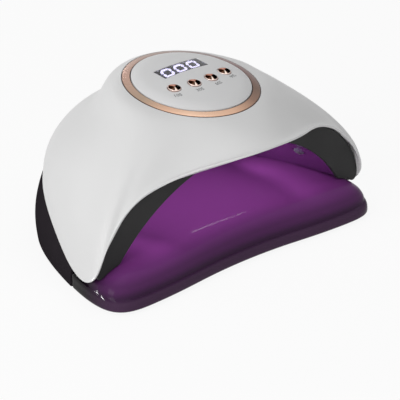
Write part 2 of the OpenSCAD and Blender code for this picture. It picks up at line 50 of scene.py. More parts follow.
camera_target = Vector((-0.02655, -0.05443, 0.045))
camera_distance = 1.3697
looking = Vector((
    math.sin(camera_turn) * math.cos(camera_height),
    math.cos(camera_turn) * math.cos(camera_height),
    -math.sin(camera_height)))
camera = bpy.data.objects.new("camera", bpy.data.cameras.new("camera"))
camera.data.sensor_width = 36
camera.data.lens = 203.4
camera.data.clip_start = 0.05
camera.location = camera_target - looking * camera_distance
camera.rotation_mode = "QUATERNION"
camera.rotation_quaternion = looking.to_track_quat("-Z", "Y")
scene.collection.objects.link(camera)
scene.camera = camera

# Studio
# A pale floor and a white surround that the camera and the gloss see, a large soft key at the
# left, a soft light overhead, a narrow tube behind, weak lights inside the hand opening, and
# thin strips that only the gloss sees, which draw the fine streaks on the tray.


def linear(code):
    """Linear colour of an sRGB hex value such as "E4E5E6"."""
    parts = [int(code[i:i + 2], 16) / 255 for i in (0, 2, 4)]
    return tuple(c / 12.92 if c < 0.04045 else ((c + 0.055) / 1.055) ** 2.4 for c in parts) + (1,)


def add(tree, kind, sockets=(), **settings):
    """One node of a kind. Sockets pairs an input's name or number with its value, or with an
    output that is linked to it, and settings are the node's own choices."""
    node = tree.nodes.new(kind)
    for key, value in settings.items():
        setattr(node, key, value)
    for key, value in dict(sockets).items():
        if isinstance(value, bpy.types.Node):
            value = value.outputs[0]
        if isinstance(value, bpy.types.NodeSocket):
            tree.links.new(value, node.inputs[key])
        else:
            node.inputs[key].default_value = value
    return node


def seen_directly(tree):
    """One where a ray comes from the camera or from gloss or glass, else zero."""
    path = add(tree, "ShaderNodeLightPath")
    gloss = add(tree, "ShaderNodeMath", {
        0: path.outputs["Is Camera Ray"], 1: path.outputs["Is Glossy Ray"]}, operation="MAXIMUM")
    return add(tree, "ShaderNodeMath", {
        0: gloss, 1: path.outputs["Is Transmission Ray"]}, operation="MAXIMUM")


world = bpy.data.worlds.new("studio")
scene.world = world
world.use_nodes = True
tree = world.node_tree
tree.nodes.clear()
ambient = add(tree, "ShaderNodeBackground", {"Color": linear("F6F6F6"), "Strength": 0.42})
surround = add(tree, "ShaderNodeBackground", {"Color": linear("FFFFFF"), "Strength": 1.0})
both = add(tree, "ShaderNodeMixShader", {0: seen_directly(tree), 1: ambient, 2: surround})
add(tree, "ShaderNodeOutputWorld", {"Surface": both})

floor_half = 4.0
paper_glow = 0.9
floor_mesh = bpy.data.meshes.new("floor")
floor_mesh.from_pydata(
    [(x * floor_half, y * floor_half, 0) for x, y in ((-1, -1), (1, -1), (1, 1), (-1, 1))],
    [], [(0, 1, 2, 3)])
floor = bpy.data.objects.new("floor", floor_mesh)
scene.collection.objects.link(floor)
paper = bpy.data.materials.new("white_paper_sweep")
paper.use_nodes = True
tree = paper.node_tree
tree.nodes.clear()
fibre = add(tree, "ShaderNodeTexNoise", {
    "Vector": add(tree, "ShaderNodeTexCoord").outputs["Object"], "Scale": 900.0, "Detail": 3.0})
tone = add(tree, "ShaderNodeMapRange", {"Value": fibre, "To Min": 0.9, "To Max": 0.96})
matt = add(tree, "ShaderNodeBsdfDiffuse", {"Color": tone.outputs["Result"]})
bright = add(tree, "ShaderNodeEmission", {"Color": linear("FFFFFF"), "Strength": 1.0})
share = add(tree, "ShaderNodeMath", {0: seen_directly(tree), 1: paper_glow}, operation="MULTIPLY")
both = add(tree, "ShaderNodeMixShader", {0: share, 1: matt, 2: bright})
add(tree, "ShaderNodeOutputMaterial", {"Surface": both})
floor_mesh.materials.append(paper)


def area_light(name, place, aim, width, height, watts):
    """A rectangular soft light at a place, turned towards a point, with its sizes in metres."""
    light = bpy.data.lights.new(name, "AREA")
    light.shape = "RECTANGLE"
    light.size = width
    light.size_y = height
    light.energy = watts
    lamp = bpy.data.objects.new(name, light)
    lamp.location = place
    lamp.rotation_mode = "QUATERNION"
    lamp.rotation_quaternion = (Vector(aim) - Vector(place)).to_track_quat("-Z", "Y")
    scene.collection.objects.link(lamp)
    return lamp


area_light("key", (-1.5, -0.35, 0.75), (0, 0, 0.05), 0.9, 0.9, 13.5)
area_light("overhead", (0.1, -0.1, 1.7), (0, 0, 0.05), 1.2, 1.2, 3.2)
area_light("tube", (0.35, 1.05, 0.62), (0, -0.04, 0.03), 0.6, 0.02, 0.5)
inside_lights = [
    ((0, -0.018, 0.048), (0, -0.018, 0), 0.116, 0.09, 0.031),
    ((-0.064, -0.036, 0.042), (-0.098, -0.044, 0.022), 0.06, 0.01, 0.005),
    ((0.064, -0.036, 0.042), (0.098, -0.044, 0.022), 0.06, 0.01, 0.005),
    ((0.066, 0.002, 0.04), (0.098, -0.004, 0.022), 0.04, 0.01, 0.005)]
for place, aim, width, height, watts in inside_lights:
    inside = area_light("inside", place, aim, width, height, watts)
    inside.visible_camera = False
    inside.visible_glossy = False
    inside.visible_transmission = False


def gloss_strip(start, end, aim, width, watts):
    """A thin strip that only the gloss sees, from start to end in millimetres, facing aim."""
    start, end, aim = (Vector(place) * 0.001 for place in (start, end, aim))
    middle = (start + end) / 2
    strip = area_light("gloss_strip", middle, aim, (end - start).length, width * 0.001, watts)
    way = (end - start).normalized()
    across = (middle - aim).cross(way).normalized()
    turn = Matrix((way, across, way.cross(across))).transposed()
    strip.rotation_quaternion = turn.to_quaternion()
    strip.visible_camera = False
    strip.visible_diffuse = False
    strip.visible_transmission = False


gloss_strip((-14.8, -37.0, 38.0), (30.9, -40.4, 40.0), (-9.5, -51.7, 24.2), 0.6, 0.0014)
gloss_strip((-124.7, -33.3, 10.2), (-127.3, -37.9, 5.2), (-110.7, -55.0, 11.1), 1.0, 0.004)
gloss_strip((-131.0, -44.1, 6.6), (-131.1, -48.7, 1.0), (-111.0, -60.0, 9.5), 1.2, 0.009)

scene.view_settings.view_transform = "Standard"

# Hood
# The white lid: one moulded ABS shell with a leaf-shaped brim over the opening and shoulders
# that sweep down to the tray. It is lofted from the round panel seat to its lower edge.
hood_wall = 2.2
hood_rim = 1.4
rim_round = 0.45
hood_steps = 8
face_parts = 64
inner_parts = 26
look = 0.05
rib_step = 0.02
panel_centre = np.array([0, -19.9, 110.8])
panel_lean = math.radians(9.6)
seat_r = 43.3
seat_z = -7
seat_more = 1.5
ledge_r = 35
ledge_z = -10
ledge_t = 2
# The lower edge, from the middle of the brim to the middle of the back, as points that steer a
# smooth curve, and where each meets the panel's rim, as an angle.
hood_edge = np.array([
    [0, -93.9, 85.2], [16, -92.4, 84.8], [32, -86, 82.5], [48, -76, 78.6], [64, -67.5, 73.5],
    [80, -62.5, 66.8], [93.5, -61, 58], [104.4, -61, 46.5], [112, -61.5, 32.3], [115, -57, 19.6],
    [110.6, -42.5, 12.3], [105.5, -27, 13.5], [100.5, -13.5, 18], [94, 3, 27], [86, 20.5, 36],
    [74.5, 38, 43.5], [58, 54, 48.5], [39, 68, 51.5], [20, 78, 53], [0, 82, 53.5]])
rim_turn = np.radians([
    -90, -80, -70, -60, -50, -41, -34, -28, -22, -15, -7, 1, 9, 18, 28, 39, 51, 64, 77, 90])
# Five rings steer the face between rim and edge. At some stations along the edge, these give
# each ring's share of the way out from the rim, and its height.
station = [0, 5, 8, 10, 12.5, 15.5, 19]
way_out = np.array([
    [0.12, 0.30, 0.50, 0.70, 0.88], [0.12, 0.30, 0.50, 0.70, 0.88], [0.12, 0.30, 0.55, 0.80, 0.96],
    [0.14, 0.30, 0.55, 0.82, 0.97], [0.18, 0.32, 0.55, 0.84, 0.98], [0.21, 0.33, 0.56, 0.85, 0.98],
    [0.20, 0.33, 0.58, 0.86, 0.98]])
ring_height = np.array([
    [95, 93, 90.6, 88, 86], [97.3, 93, 86.5, 78.5, 71], [99.8, 91.5, 78, 60.5, 44],
    [101.8, 93, 78, 57.5, 36], [105, 92.5, 83.5, 68.5, 44], [106.6, 89.3, 80, 68, 58.5],
    [107.3, 90.5, 83, 71, 61.3]])
last_edge = len(hood_edge) - 1
last_turn = 6
inner_start = 5.3


def on_panel(x, y, z):
    """A point of the panel's frame, whose origin is the top of its dome, in the lamp's frame."""
    c, s = math.cos(panel_lean), math.sin(panel_lean)
    return panel_centre + np.array([x, y * c - z * s, y * s + z * c])


def weights(f):
    """Weights of the four control points round a place on a smooth curve."""
    return np.array([(1 - f) ** 3, 3 * f ** 3 - 6 * f ** 2 + 4,
                     -3 * f ** 3 + 3 * f ** 2 + 3 * f + 1, f ** 3]) / 6


def curve(points, u):
    """Place u on the smooth curve steered by the points, which are mirrored past both ends."""
    first = min(int(u), len(points) - 2)
    around = []
    for k in range(first - 1, first + 3):
        inside = min(abs(k), 2 * (len(points) - 1) - k)
        point = np.array(points[inside], dtype=float)
        if inside != k:
            point[0] = -point[0]
        around.append(point)
    return weights(u - first) @ np.array(around)


def unit(v):
    """The vector with a length of one."""
    return v / np.linalg.norm(v)


def eased(f):
    """A share from 0 to 1 with a soft start and end."""
    return f * f * (3 - 2 * f)


def between(table, u):
    """Row of a table at u, eased between its stations."""
    k = max(i for i in range(len(station) - 1) if station[i] <= u)
    f = eased((u - station[k]) / (station[k + 1] - station[k]))
    return table[k] * (1 - f) + table[k + 1] * f


def rim_point(turn, r=seat_r, z=seat_z):
    """A point of the panel's frame at an angle round its middle."""
    return on_panel(r * math.cos(turn), r * math.sin(turn), z)


rim_aim = np.array([[math.cos(a), math.sin(a), 0] for a in rim_turn])
hood_rings = []
for ring in range(5):
    line = []
    for k, low in enumerate(hood_edge):
        start = rim_point(rim_turn[k])
        point = start + (low - start) * between(way_out, k)[ring]
        point[2] = between(ring_height, k)[ring]
        line.append(point)
    hood_rings.append(line)


def rim_at(u):
    """The angle at which the face meets the panel's rim at u."""
    aim = curve(rim_aim, u)
    return math.atan2(aim[1], aim[0])


def spoke(u):
    """Control points of the hood's surface from the panel's rim out to the lower edge."""
    rim = rim_point(rim_at(u))
    inner = [curve(ring, u) for ring in hood_rings]
    edge = curve(hood_edge, u)
    return np.array([2 * rim - inner[0], rim, *inner, edge, 2 * edge - inner[4]])


def along(points, t):
    """Place t on one rib of the face, from 0 at the rim to last_turn at the edge."""
    first = min(int(t), last_turn - 1)
    return weights(t - first) @ points[first:first + 4]


def hood_column(u, side):
    """One rib of the hood: down its face, round its thin rim, up inside and over its seat."""
    points = spoke(u)
    beside = spoke(u + rib_step)

    def out_of(t):
        across = along(points, min(t + look, last_turn)) - along(points, max(t - look, 0))
        return unit(np.cross(across, along(beside, t) - along(points, t)))

    low = along(points, last_turn)
    down = low - along(points, last_turn - look)
    outward, way = out_of(last_turn), unit(down)
    end = last_turn - rim_round / np.linalg.norm(down) * look
    column = [along(points, t) for t in np.linspace(0, end, face_parts)]
    for depth, turns in ((rim_round, (30, 60, 90)), (hood_rim - rim_round, (90, 120, 150, 180))):
        middle = low - way * rim_round - outward * depth
        for turn in np.radians(turns):
            column.append(middle + rim_round * (outward * math.cos(turn) + way * math.sin(turn)))
    for t in np.linspace(inner_start, 1, inner_parts):
        column.append(along(points, t) - out_of(t) * hood_wall)
    turn = rim_at(u)
    column += [
        rim_point(turn, seat_r + seat_more, ledge_z - ledge_t),
        rim_point(turn, ledge_r, ledge_z - ledge_t),
        rim_point(turn, ledge_r, ledge_z), rim_point(turn, seat_r, ledge_z)]
    return np.array(column) * (side, 1, 1)


def grid_faces(columns, rows, closed_columns=True):
    """Quads between the points of neighbouring columns, numbered column after column."""
    faces = []
    for i in range(columns if closed_columns else columns - 1):
        a, b = i * rows, (i + 1) % columns * rows
        for j in range(rows):
            k = (j + 1) % rows
            faces.append((a + j, b + j, b + k, a + k))
    return faces


def new_piece(name, points, faces, material, sharp=35):
    """A closed piece from points in millimetres, facing outwards and smooth up to an angle."""
    mesh = bpy.data.meshes.new(name)
    mesh.from_pydata([tuple(float(c) * 0.001 for c in p) for p in points], [], faces)
    work = bmesh.new()
    work.from_mesh(mesh)
    bmesh.ops.remove_doubles(work, verts=work.verts, dist=1e-6)
    bmesh.ops.recalc_face_normals(work, faces=work.faces)
    work.to_mesh(mesh)
    work.free()
    mesh.shade_smooth()
    mesh.set_sharp_from_angle(angle=math.radians(sharp))
    mesh.materials.append(material)
    piece = bpy.data.objects.new(name, mesh)
    scene.collection.objects.link(piece)
    return piece


def finish(name, **values):
    """A material with one Principled BSDF, the shader's plain values set on its own sockets."""
    material = bpy.data.materials.new(name)
    material.use_nodes = True
    shader = material.node_tree.nodes["Principled BSDF"]
    for key, value in values.items():
        shader.inputs[key.replace("_", " ")].default_value = value
    return material, material.node_tree, shader


def grained(tree, shader, size, depth):
    """Fine bump of a moulded or plated skin: grain size and depth in millimetres."""
    place = add(tree, "ShaderNodeTexCoord").outputs["Object"]
    grain = add(tree, "ShaderNodeTexNoise", {
        "Vector": place, "Scale": 1000 / size, "Detail": 2.0, "Roughness": 0.55})
    bump = add(tree, "ShaderNodeBump", {
        "Height": grain, "Distance": depth * 0.001, "Strength": 1.0})
    tree.links.new(bump.outputs[0], shader.inputs["Normal"])
    return place


def varied(tree, shader, place, socket, size, low, high):
    """A shader value that drifts slowly over the piece, as handling and moulding leave it."""
    drift = add(tree, "ShaderNodeTexNoise", {"Vector": place, "Scale": 1000 / size, "Detail": 2.0})
    value = add(tree, "ShaderNodeMapRange", {
        "Value": drift, "From Min": 0.2, "From Max": 0.8, "To Min": low, "To Max": high},
        interpolation_type="SMOOTHSTEP")
    tree.links.new(value.outputs["Result"], shader.inputs[socket])


def tinted(tree, shader, place, size, first, second):
    """A base colour that drifts between two near tones."""
    drift = add(tree, "ShaderNodeTexNoise", {"Vector": place, "Scale": 1000 / size, "Detail": 3.0})
    tone = add(tree, "ShaderNodeMix", {
        "Factor": drift, 6: linear(first), 7: linear(second)}, data_type="RGBA")
    tree.links.new(tone.outputs[2], shader.inputs["Base Color"])


def skin(name, tones, grain=None, rough=None, **values):
    """A plain material. Tones are the size of its patches and their two colours, grain is the
    size and depth of its bump, and rough is how wide its roughness drifts and between what."""
    material, tree, shader = finish(name, **values)
    if grain:
        place = grained(tree, shader, *grain)
    else:
        place = add(tree, "ShaderNodeTexCoord").outputs["Object"]
    if rough:
        varied(tree, shader, place, "Roughness", *rough)
    tinted(tree, shader, place, *tones)
    return material


# Gloss white ABS from a polished mould: an even neutral white with soft wide highlights and a
# very faint waviness.
white_abs = skin(
    "gloss_white_abs", (30, "E6E6E6", "E4E4E4"), grain=(6.0, 0.006), rough=(40, 0.28, 0.34),
    IOR=1.5, Specular_IOR_Level=0.12)

half = last_edge * hood_steps
ribs = [hood_column(i / hood_steps, 1) for i in range(half + 1)]
ribs += [hood_column(i / hood_steps, -1) for i in range(half - 1, 0, -1)]
hood = new_piece(
    "hood", np.concatenate(ribs), grid_faces(len(ribs), len(ribs[0])), white_abs)
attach(hood, "upper_lamp")
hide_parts("top_shell")

# Control panel
# The round domed plate on top: satin white ABS with a window opening and four button holes,
# pressed in from above so that a hairline gap shows against the trim ring.
panel_r = 37.4
dome_r = 190
drop_r = 30
rim_drop = 1.6
flat_r = 34.8
panel_t = 2.2
edge_round = 0.3
window_w = 36
window_d = 10.8
window_y = 10.2
button_hole_r = 4.4
button_xy = [(-21, -6.6), (-7, -9.4), (7, -9.4), (21, -6.6)]
hole_w = window_w + 0.3
hole_d = window_d + 0.3
rim_parts = 256
hole_parts = 48
seed_step = 1.3
row_step = 0.866


def dome(r):
    """Height of the panel's face at a radius: a shallow dome that falls off towards its rim."""
    past = max(0, r - drop_r) / (panel_r - drop_r)
    return -r * r / (2 * dome_r) - past ** 2 * rim_drop


def dome_at(x, y):
    """Height of the dome at a place on the panel."""
    return dome(math.hypot(x, y))


def circle(x, y, r, count):
    """Points round a circle."""
    turns = np.arange(count) / count * 2 * math.pi
    return [(x + r * math.cos(a), y + r * math.sin(a)) for a in turns]


def box_line(width, depth, y, corner, step=1.2):
    """A rounded rectangle round (0, y), with points a step apart along its sides."""
    line = []
    for k, (sx, sy) in enumerate(((1, 1), (-1, 1), (-1, -1), (1, -1))):
        cx, cy = sx * (width / 2 - corner), sy * (depth / 2 - corner)
        for a in np.radians(np.linspace(0, 90, 5) + 90 * k):
            line.append((cx + corner * math.cos(a), y + cy + corner * math.sin(a)))
    full = []
    for i, p in enumerate(line):
        q = line[(i + 1) % len(line)]
        parts = max(1, round(math.dist(p, q) / step))
        full += [(p[0] + (q[0] - p[0]) * k / parts, p[1] + (q[1] - p[1]) * k / parts)
                 for k in range(parts)]
    return full


def domed_plate(outline, holes, inside, height, spacing):
    """Triangles of a plate's face inside an outline and outside its holes. Every closed line
    stays an edge. Returns points, triangles and the numbers of each line's points."""
    reach = max(abs(c) for p in outline for c in p)
    seeds = []
    count = int(reach / spacing) + 1
    for i in range(-count, count + 1):
        for j in range(-count, count + 1):
            x = (i + 0.5 * (j % 2)) * spacing
            y = j * spacing * row_step
            if inside(x, y):
                seeds.append((x, y))
    points, edges, groups = [], [], []
    for line in [outline] + holes:
        first = len(points)
        points += line
        numbers = list(range(first, len(points)))
        edges += list(zip(numbers, numbers[1:] + numbers[:1]))
        groups.append(numbers)
    points += seeds
    flat, _, triangles, origins, _, _ = delaunay_2d_cdt(
        [Vector(p) for p in points], edges, [], 0, 1e-5)
    places = {}
    for new, old in enumerate(origins):
        for number in old:
            places[number] = new
    kept = [tuple(f) for f in triangles
            if inside(*(sum(flat[k][c] for k in f) / 3 for c in (0, 1)), 0)]
    face = [(p[0], p[1], height(p[0], p[1])) for p in flat]
    return face, kept, [[places[k] for k in group] for group in groups]


def plate_solid(face, triangles, holes, front, thickness):
    """Points and faces of a plate behind its face, with the walls of its holes. Front gives the
    height of each numbered point of the face."""
    count = len(face)
    points = [on_panel(x, y, front(k, z)) for k, (x, y, z) in enumerate(face)]
    points += [on_panel(x, y, dome_at(x, y) - thickness) for x, y, z in face]
    faces = triangles + [tuple(count + k for k in f[::-1]) for f in triangles]
    for line in holes:
        faces += [(a, b, count + b, count + a) for a, b in zip(line, line[1:] + line[:1])]
    return points, faces


def lip(distance):
    """Drop of a rounded edge at a distance from it."""
    if distance >= edge_round:
        return 0
    return edge_round - math.sqrt(edge_round ** 2 - (edge_round - distance) ** 2)


def from_holes(x, y):
    """Distance of a point of the panel from its nearest hole; negative inside a hole."""
    away = [math.dist((x, y), b) - button_hole_r for b in button_xy]
    dx, dy = abs(x) - hole_w / 2, abs(y - window_y) - hole_d / 2
    away.append(math.hypot(max(dx, 0), max(dy, 0)) + min(max(dx, dy), 0))
    return min(away)


def panel_inside(x, y, margin=0.7):
    """Whether a place is on the panel's face, some way from its rim and its holes."""
    return from_holes(x, y) > margin - 1e-4 and math.hypot(x, y) < flat_r - margin


def panel_height(x, y):
    """Height of the face, with the rounded edges of its holes."""
    return dome_at(x, y) - lip(max(0, from_holes(x, y)))


lips = (0, 0.04, 0.12, 0.3)
holes = [circle(x, y, button_hole_r + d, hole_parts) for x, y in button_xy for d in lips]
holes += [box_line(hole_w + 2 * d, hole_d + 2 * d, window_y, 0.05 + d) for d in lips]
face, triangles, lines = domed_plate(
    circle(0, 0, flat_r, rim_parts), holes, panel_inside, panel_height, seed_step)
points, faces = plate_solid(face, triangles, lines[1::len(lips)], lambda k, z: z, panel_t)
panel_side = [(r, dome(r)) for r in (35.4, 35.9, 36.3, 36.7, 37.0, 37.2, 37.35)]
panel_side += [
    (panel_r, dome(panel_r) - 0.2), (panel_r, ledge_z + 0.3), (panel_r - 0.2, ledge_z + 0.1),
    (panel_r - 2, ledge_z + 0.1), (panel_r - 2, dome(panel_r - 2) - 3)]
rings = [lines[0]]
for r, z in panel_side:
    rings.append([len(points) + k for k in range(rim_parts)])
    points += [on_panel(x, y, z) for x, y in circle(0, 0, r, rim_parts)]
rings.append([len(face) + k for k in lines[0]])
for a, b in zip(rings, rings[1:]):
    faces += [(a[k - 1], b[k - 1], b[k], a[k]) for k in range(rim_parts)]

# Satin white ABS from a finely blasted mould: a shade darker and duller than the hood.
panel_abs = skin(
    "satin_white_abs", (25, "E2E2E2", "E0E0E1"), grain=(0.5, 0.003), rough=(25, 0.36, 0.42),
    IOR=1.5, Specular_IOR_Level=0.15)
panel = new_piece("control_panel_plate", points, faces, panel_abs)
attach(panel, "upper_lamp")
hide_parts("control_panel")

# Trim ring
# The rose-gold band between hood and panel: plated ABS with a turned satin face that slopes
# outwards, swept round the seat by a geometry tree.
ring_r = 43
ring_inner_r = 37.8
ring_foot = -9.9
ring_low = -6.9
ring_high = -5.65
ring_round = 0.3
ring_mid_r = (ring_inner_r + ring_r) / 2
ring_half_w = (ring_r - ring_inner_r) / 2
# Painted edge shade: how far in from each edge of the ring it begins, and where it is full.
painted_edge_shade = (0.6, 0.2)


def worked(piece):
    """The plain mesh of an object with its modifiers worked in."""
    return bpy.data.meshes.new_from_object(
        piece.evaluated_get(bpy.context.evaluated_depsgraph_get()))


def settled(piece):
    """The piece with its modifiers worked into its mesh."""
    piece.data = worked(piece)
    piece.modifiers.clear()
    return piece


def new_growth(name, *sizes):
    """A geometry tree with a named input for each size, in metres, and its two end nodes."""
    tree = bpy.data.node_groups.new(name, "GeometryNodeTree")
    tree.interface.new_socket("Geometry", in_out="INPUT", socket_type="NodeSocketGeometry")
    for label in sizes:
        tree.interface.new_socket(label, in_out="INPUT", socket_type="NodeSocketFloat")
    tree.interface.new_socket("Geometry", in_out="OUTPUT", socket_type="NodeSocketGeometry")
    return tree, add(tree, "NodeGroupInput"), add(tree, "NodeGroupOutput")


def grown(name, tree, sizes, seeds=(), aims=()):
    """The plain mesh that a tree grows on seed points in millimetres, each with the way its
    part points, with the tree's sizes given in millimetres too."""
    mesh = bpy.data.meshes.new(name)
    mesh.from_pydata([tuple(float(c) * 0.001 for c in p) for p in seeds], [], [])
    if len(aims):
        aim = mesh.attributes.new("aim", "FLOAT_VECTOR", "POINT")
        aim.data.foreach_set("vector", np.array(aims, dtype=float).ravel())
    piece = bpy.data.objects.new(name, mesh)
    scene.collection.objects.link(piece)
    growth = piece.modifiers.new("growth", "NODES")
    growth.node_group = tree
    for item in tree.interface.items_tree:
        if item.in_out == "INPUT" and item.name in sizes:
            growth[item.identifier] = sizes[item.name] * 0.001
    settled(piece).data.name = name
    return piece


def ending(tree, geometry, output, material):
    """Smooth shading, realised instances and the material, which end every tree."""
    real = add(tree, "GeometryNodeRealizeInstances", {"Geometry": geometry})
    smooth = add(tree, "GeometryNodeSetShadeSmooth", {"Geometry": real})
    coat = add(tree, "GeometryNodeSetMaterial", {"Geometry": smooth, "Material": material})
    tree.links.new(coat.outputs[0], output.inputs[0])


def ramp(node, stops):
    """Colours in a colour ramp node, each at its place from 0 to 1."""
    while len(node.color_ramp.elements) < len(stops):
        node.color_ramp.elements.new(0.5)
    for element, (where, code) in zip(node.color_ramp.elements, stops):
        element.position = where
        element.color = linear(code)


# Rose-gold plating over ABS, turned on a lathe and lacquered: a satin metal whose fine grooves
# run round the ring. Its colour carries a painted sheen, brightest at the front left and falling off
# towards the right, and painted shade along both edges.
rose_plate, tree, shader = finish("turned_rose_gold_plate", Metallic=1.0)
place = add(tree, "ShaderNodeTexCoord").outputs["Object"]
centred = add(tree, "ShaderNodeMapping", {
    "Vector": place, "Location": tuple(-panel_centre * 0.001)}, vector_type="POINT")
level = add(tree, "ShaderNodeVectorRotate", {
    "Vector": centred, "Angle": -panel_lean}, rotation_type="X_AXIS")
axes = add(tree, "ShaderNodeSeparateXYZ", {"Vector": level})
flat = add(tree, "ShaderNodeCombineXYZ", {"X": axes.outputs["X"], "Y": axes.outputs["Y"]})
radius = add(tree, "ShaderNodeVectorMath", {0: flat}, operation="LENGTH")
groove = add(tree, "ShaderNodeTexNoise", {
    "W": radius.outputs["Value"], "Scale": 3300.0, "Detail": 2.0}, noise_dimensions="1D")
bump = add(tree, "ShaderNodeBump", {"Height": groove, "Distance": 0.00001, "Strength": 0.6})
tree.links.new(bump.outputs[0], shader.inputs["Normal"])
varied(tree, shader, place, "Roughness", 20, 0.24, 0.32)
# Painted sheen: the base colour is bright at the front left and dark towards the right, by the angle
# round the panel's middle.
turn = add(tree, "ShaderNodeMath", {
    0: axes.outputs["Y"], 1: axes.outputs["X"]}, operation="ARCTAN2")
sweep = add(tree, "ShaderNodeMath", {
    0: add(tree, "ShaderNodeMath", {0: turn, 1: 1 / (2 * math.pi)}, operation="MULTIPLY"),
    1: 1.0}, operation="FLOORED_MODULO")
painted_sheen_fan = add(tree, "ShaderNodeValToRGB", {"Fac": sweep})
ramp(painted_sheen_fan, [
    (0.0, "6A4C4A"), (0.13, "7A645F"), (0.25, "A08A80"), (0.38, "B79485"), (0.5, "A6917E"),
    (0.57, "CDA78E"), (0.63, "DCB9A0"), (0.74, "CFA88E"), (0.82, "86695A"), (0.88, "674F42"),
    (0.95, "684E48"), (1.0, "6A4C4A")])
# Painted shade: the colour darkens towards both edges of the ring.
off = add(tree, "ShaderNodeMath", {
    0: radius.outputs["Value"], 1: ring_mid_r * 0.001}, operation="SUBTRACT")
edge = add(tree, "ShaderNodeMapRange", {
    "Value": add(tree, "ShaderNodeMath", {0: off}, operation="ABSOLUTE"),
    "From Min": (ring_half_w - painted_edge_shade[0]) * 0.001,
    "From Max": (ring_half_w - painted_edge_shade[1]) * 0.001})
tone = add(tree, "ShaderNodeMix", {
    "Factor": edge.outputs["Result"], 6: painted_sheen_fan.outputs["Color"], 7: linear("4E3830")},
    data_type="RGBA")
tree.links.new(tone.outputs[2], shader.inputs["Base Color"])

tree, sizes, output = new_growth(
    "swept_ring", "Inner radius", "Width", "Foot depth", "Outer depth", "Inner depth", "Rounding")
path = add(tree, "GeometryNodeCurvePrimitiveCircle", {
    "Resolution": 256, "Radius": sizes.outputs["Inner radius"]})
wide = {"X": sizes.outputs["Width"]}
corners = [({}, "Foot depth"), (wide, "Foot depth"), (wide, "Outer depth"), ({}, "Inner depth")]
section = add(tree, "GeometryNodeCurvePrimitiveQuadrilateral", {
    f"Point {k + 1}": add(tree, "ShaderNodeCombineXYZ", across | {"Y": sizes.outputs[down]})
    for k, (across, down) in enumerate(corners)}, mode="POINTS")
rounded = add(tree, "GeometryNodeFilletCurve", {
    "Curve": section, "Count": 4, "Radius": sizes.outputs["Rounding"], "Limit Radius": True},
    mode="POLY")
swept = add(tree, "GeometryNodeCurveToMesh", {"Curve": path, "Profile Curve": rounded})
ending(tree, swept, output, rose_plate)
ring = grown("trim_band", tree, {
    "Inner radius": ring_inner_r, "Width": ring_r - ring_inner_r, "Foot depth": -ring_foot,
    "Outer depth": -ring_low, "Inner depth": -ring_high, "Rounding": ring_round})
on_lamp = Matrix.Translation(Vector(panel_centre) * 0.001) @ Matrix.Rotation(panel_lean, 4, "X")
ring.data.transform(on_lamp)
ring.data.set_sharp_from_angle(angle=math.radians(40))
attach(ring, "upper_lamp")
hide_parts("trim_ring")

# Display
# A smoked acrylic window flush in the panel over three seven-segment digits that glow a pale
# lilac. The digits lie just under the window, above the dark module that belongs to them.
digit_w = 8.0
digit_h = 9.2
stroke = 1.7
digit_pitch = 10.5
digit_slant = math.tan(math.radians(11))
digits_x = -0.4
digits_y = window_y + 0.2
digit_z = -1.35
digit_t = 0.3
digit_gap = 0.12
pane_t = 1.2
pane_drop = 0.1
pane_corner = 0.2
pane_step = 0.9


def window_inside(x, y, margin=0.5):
    """Whether a place is in the window, some way from its edge."""
    return abs(x) < window_w / 2 - margin and abs(y - window_y) < window_d / 2 - margin


face, triangles, lines = domed_plate(
    box_line(window_w, window_d, window_y, pane_corner, pane_step),
    [box_line(window_w - 2 * d, window_d - 2 * d, window_y, pane_corner, pane_step)
     for d in (0.05, 0.15)],
    window_inside, lambda x, y: dome_at(x, y) - pane_drop, pane_step)
rim = {k: 0.15 for k in lines[0]} | {k: 0.06 for k in lines[1]}
points, faces = plate_solid(
    face, triangles, lines[:1], lambda k, z: z - rim.get(k, 0), pane_t)

# Smoked cast acrylic: clear enough for the lit digits, dark where nothing glows under it.
smoked = skin(
    "smoked_acrylic", (10, "56555E", "52515A"), rough=(8, 0.02, 0.05),
    IOR=1.4, Transmission_Weight=1.0)
window = new_piece("display_pane", points, faces, smoked)
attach(window, "upper_lamp")
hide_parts("display_window")


def bar(x0, y0, x1, y1, width):
    """A pointed bar between two places, as one segment of a digit."""
    a, b = np.array([x0, y0]), np.array([x1, y1])
    way = unit(b - a)
    side = np.array([-way[1], way[0]]) * width / 2
    tip = way * width / 2
    return [a, a + tip + side, b - tip + side, b, b - tip - side, a + tip - side]


def nought(middle):
    """The six lit segments of a nought round a middle, slanted like the real digits."""
    w, h = (digit_w - stroke) / 2, (digit_h - stroke) / 2
    ends = [(-w, h, w, h), (-w, -h, w, -h)]
    ends += [(s * w, t * h, s * w, 0) for s in (-1, 1) for t in (-1, 1)]
    bars = []
    for x0, y0, x1, y1 in ends:
        way = unit(np.array([x1 - x0, y1 - y0])) * digit_gap
        line = bar(x0 + way[0], y0 + way[1], x1 - way[0], y1 - way[1], stroke)
        bars.append([(middle + p[0] + p[1] * digit_slant, digits_y + p[1]) for p in line])
    return bars


def slab(face, back):
    """Points and faces of a solid between a closed line of points and its like behind it."""
    count = len(face)
    faces = [tuple(range(count)), tuple(range(2 * count - 1, count - 1, -1))]
    faces += [(k, (k + 1) % count, count + (k + 1) % count, count + k) for k in range(count)]
    return face + back, faces


def joined(*parts):
    """One list of points and faces from several."""
    points, faces = [], []
    for some, rows in parts:
        faces += [tuple(len(points) + k for k in row) for row in rows]
        points += list(some)
    return points, faces


bars = []
for k in (-1, 0, 1):
    for line in nought(digits_x + k * digit_pitch):
        bars.append(slab(*(
            [on_panel(x, y, dome_at(x, y) + z) for x, y in line]
            for z in (digit_z, digit_z - digit_t))))
points, faces = joined(*bars)

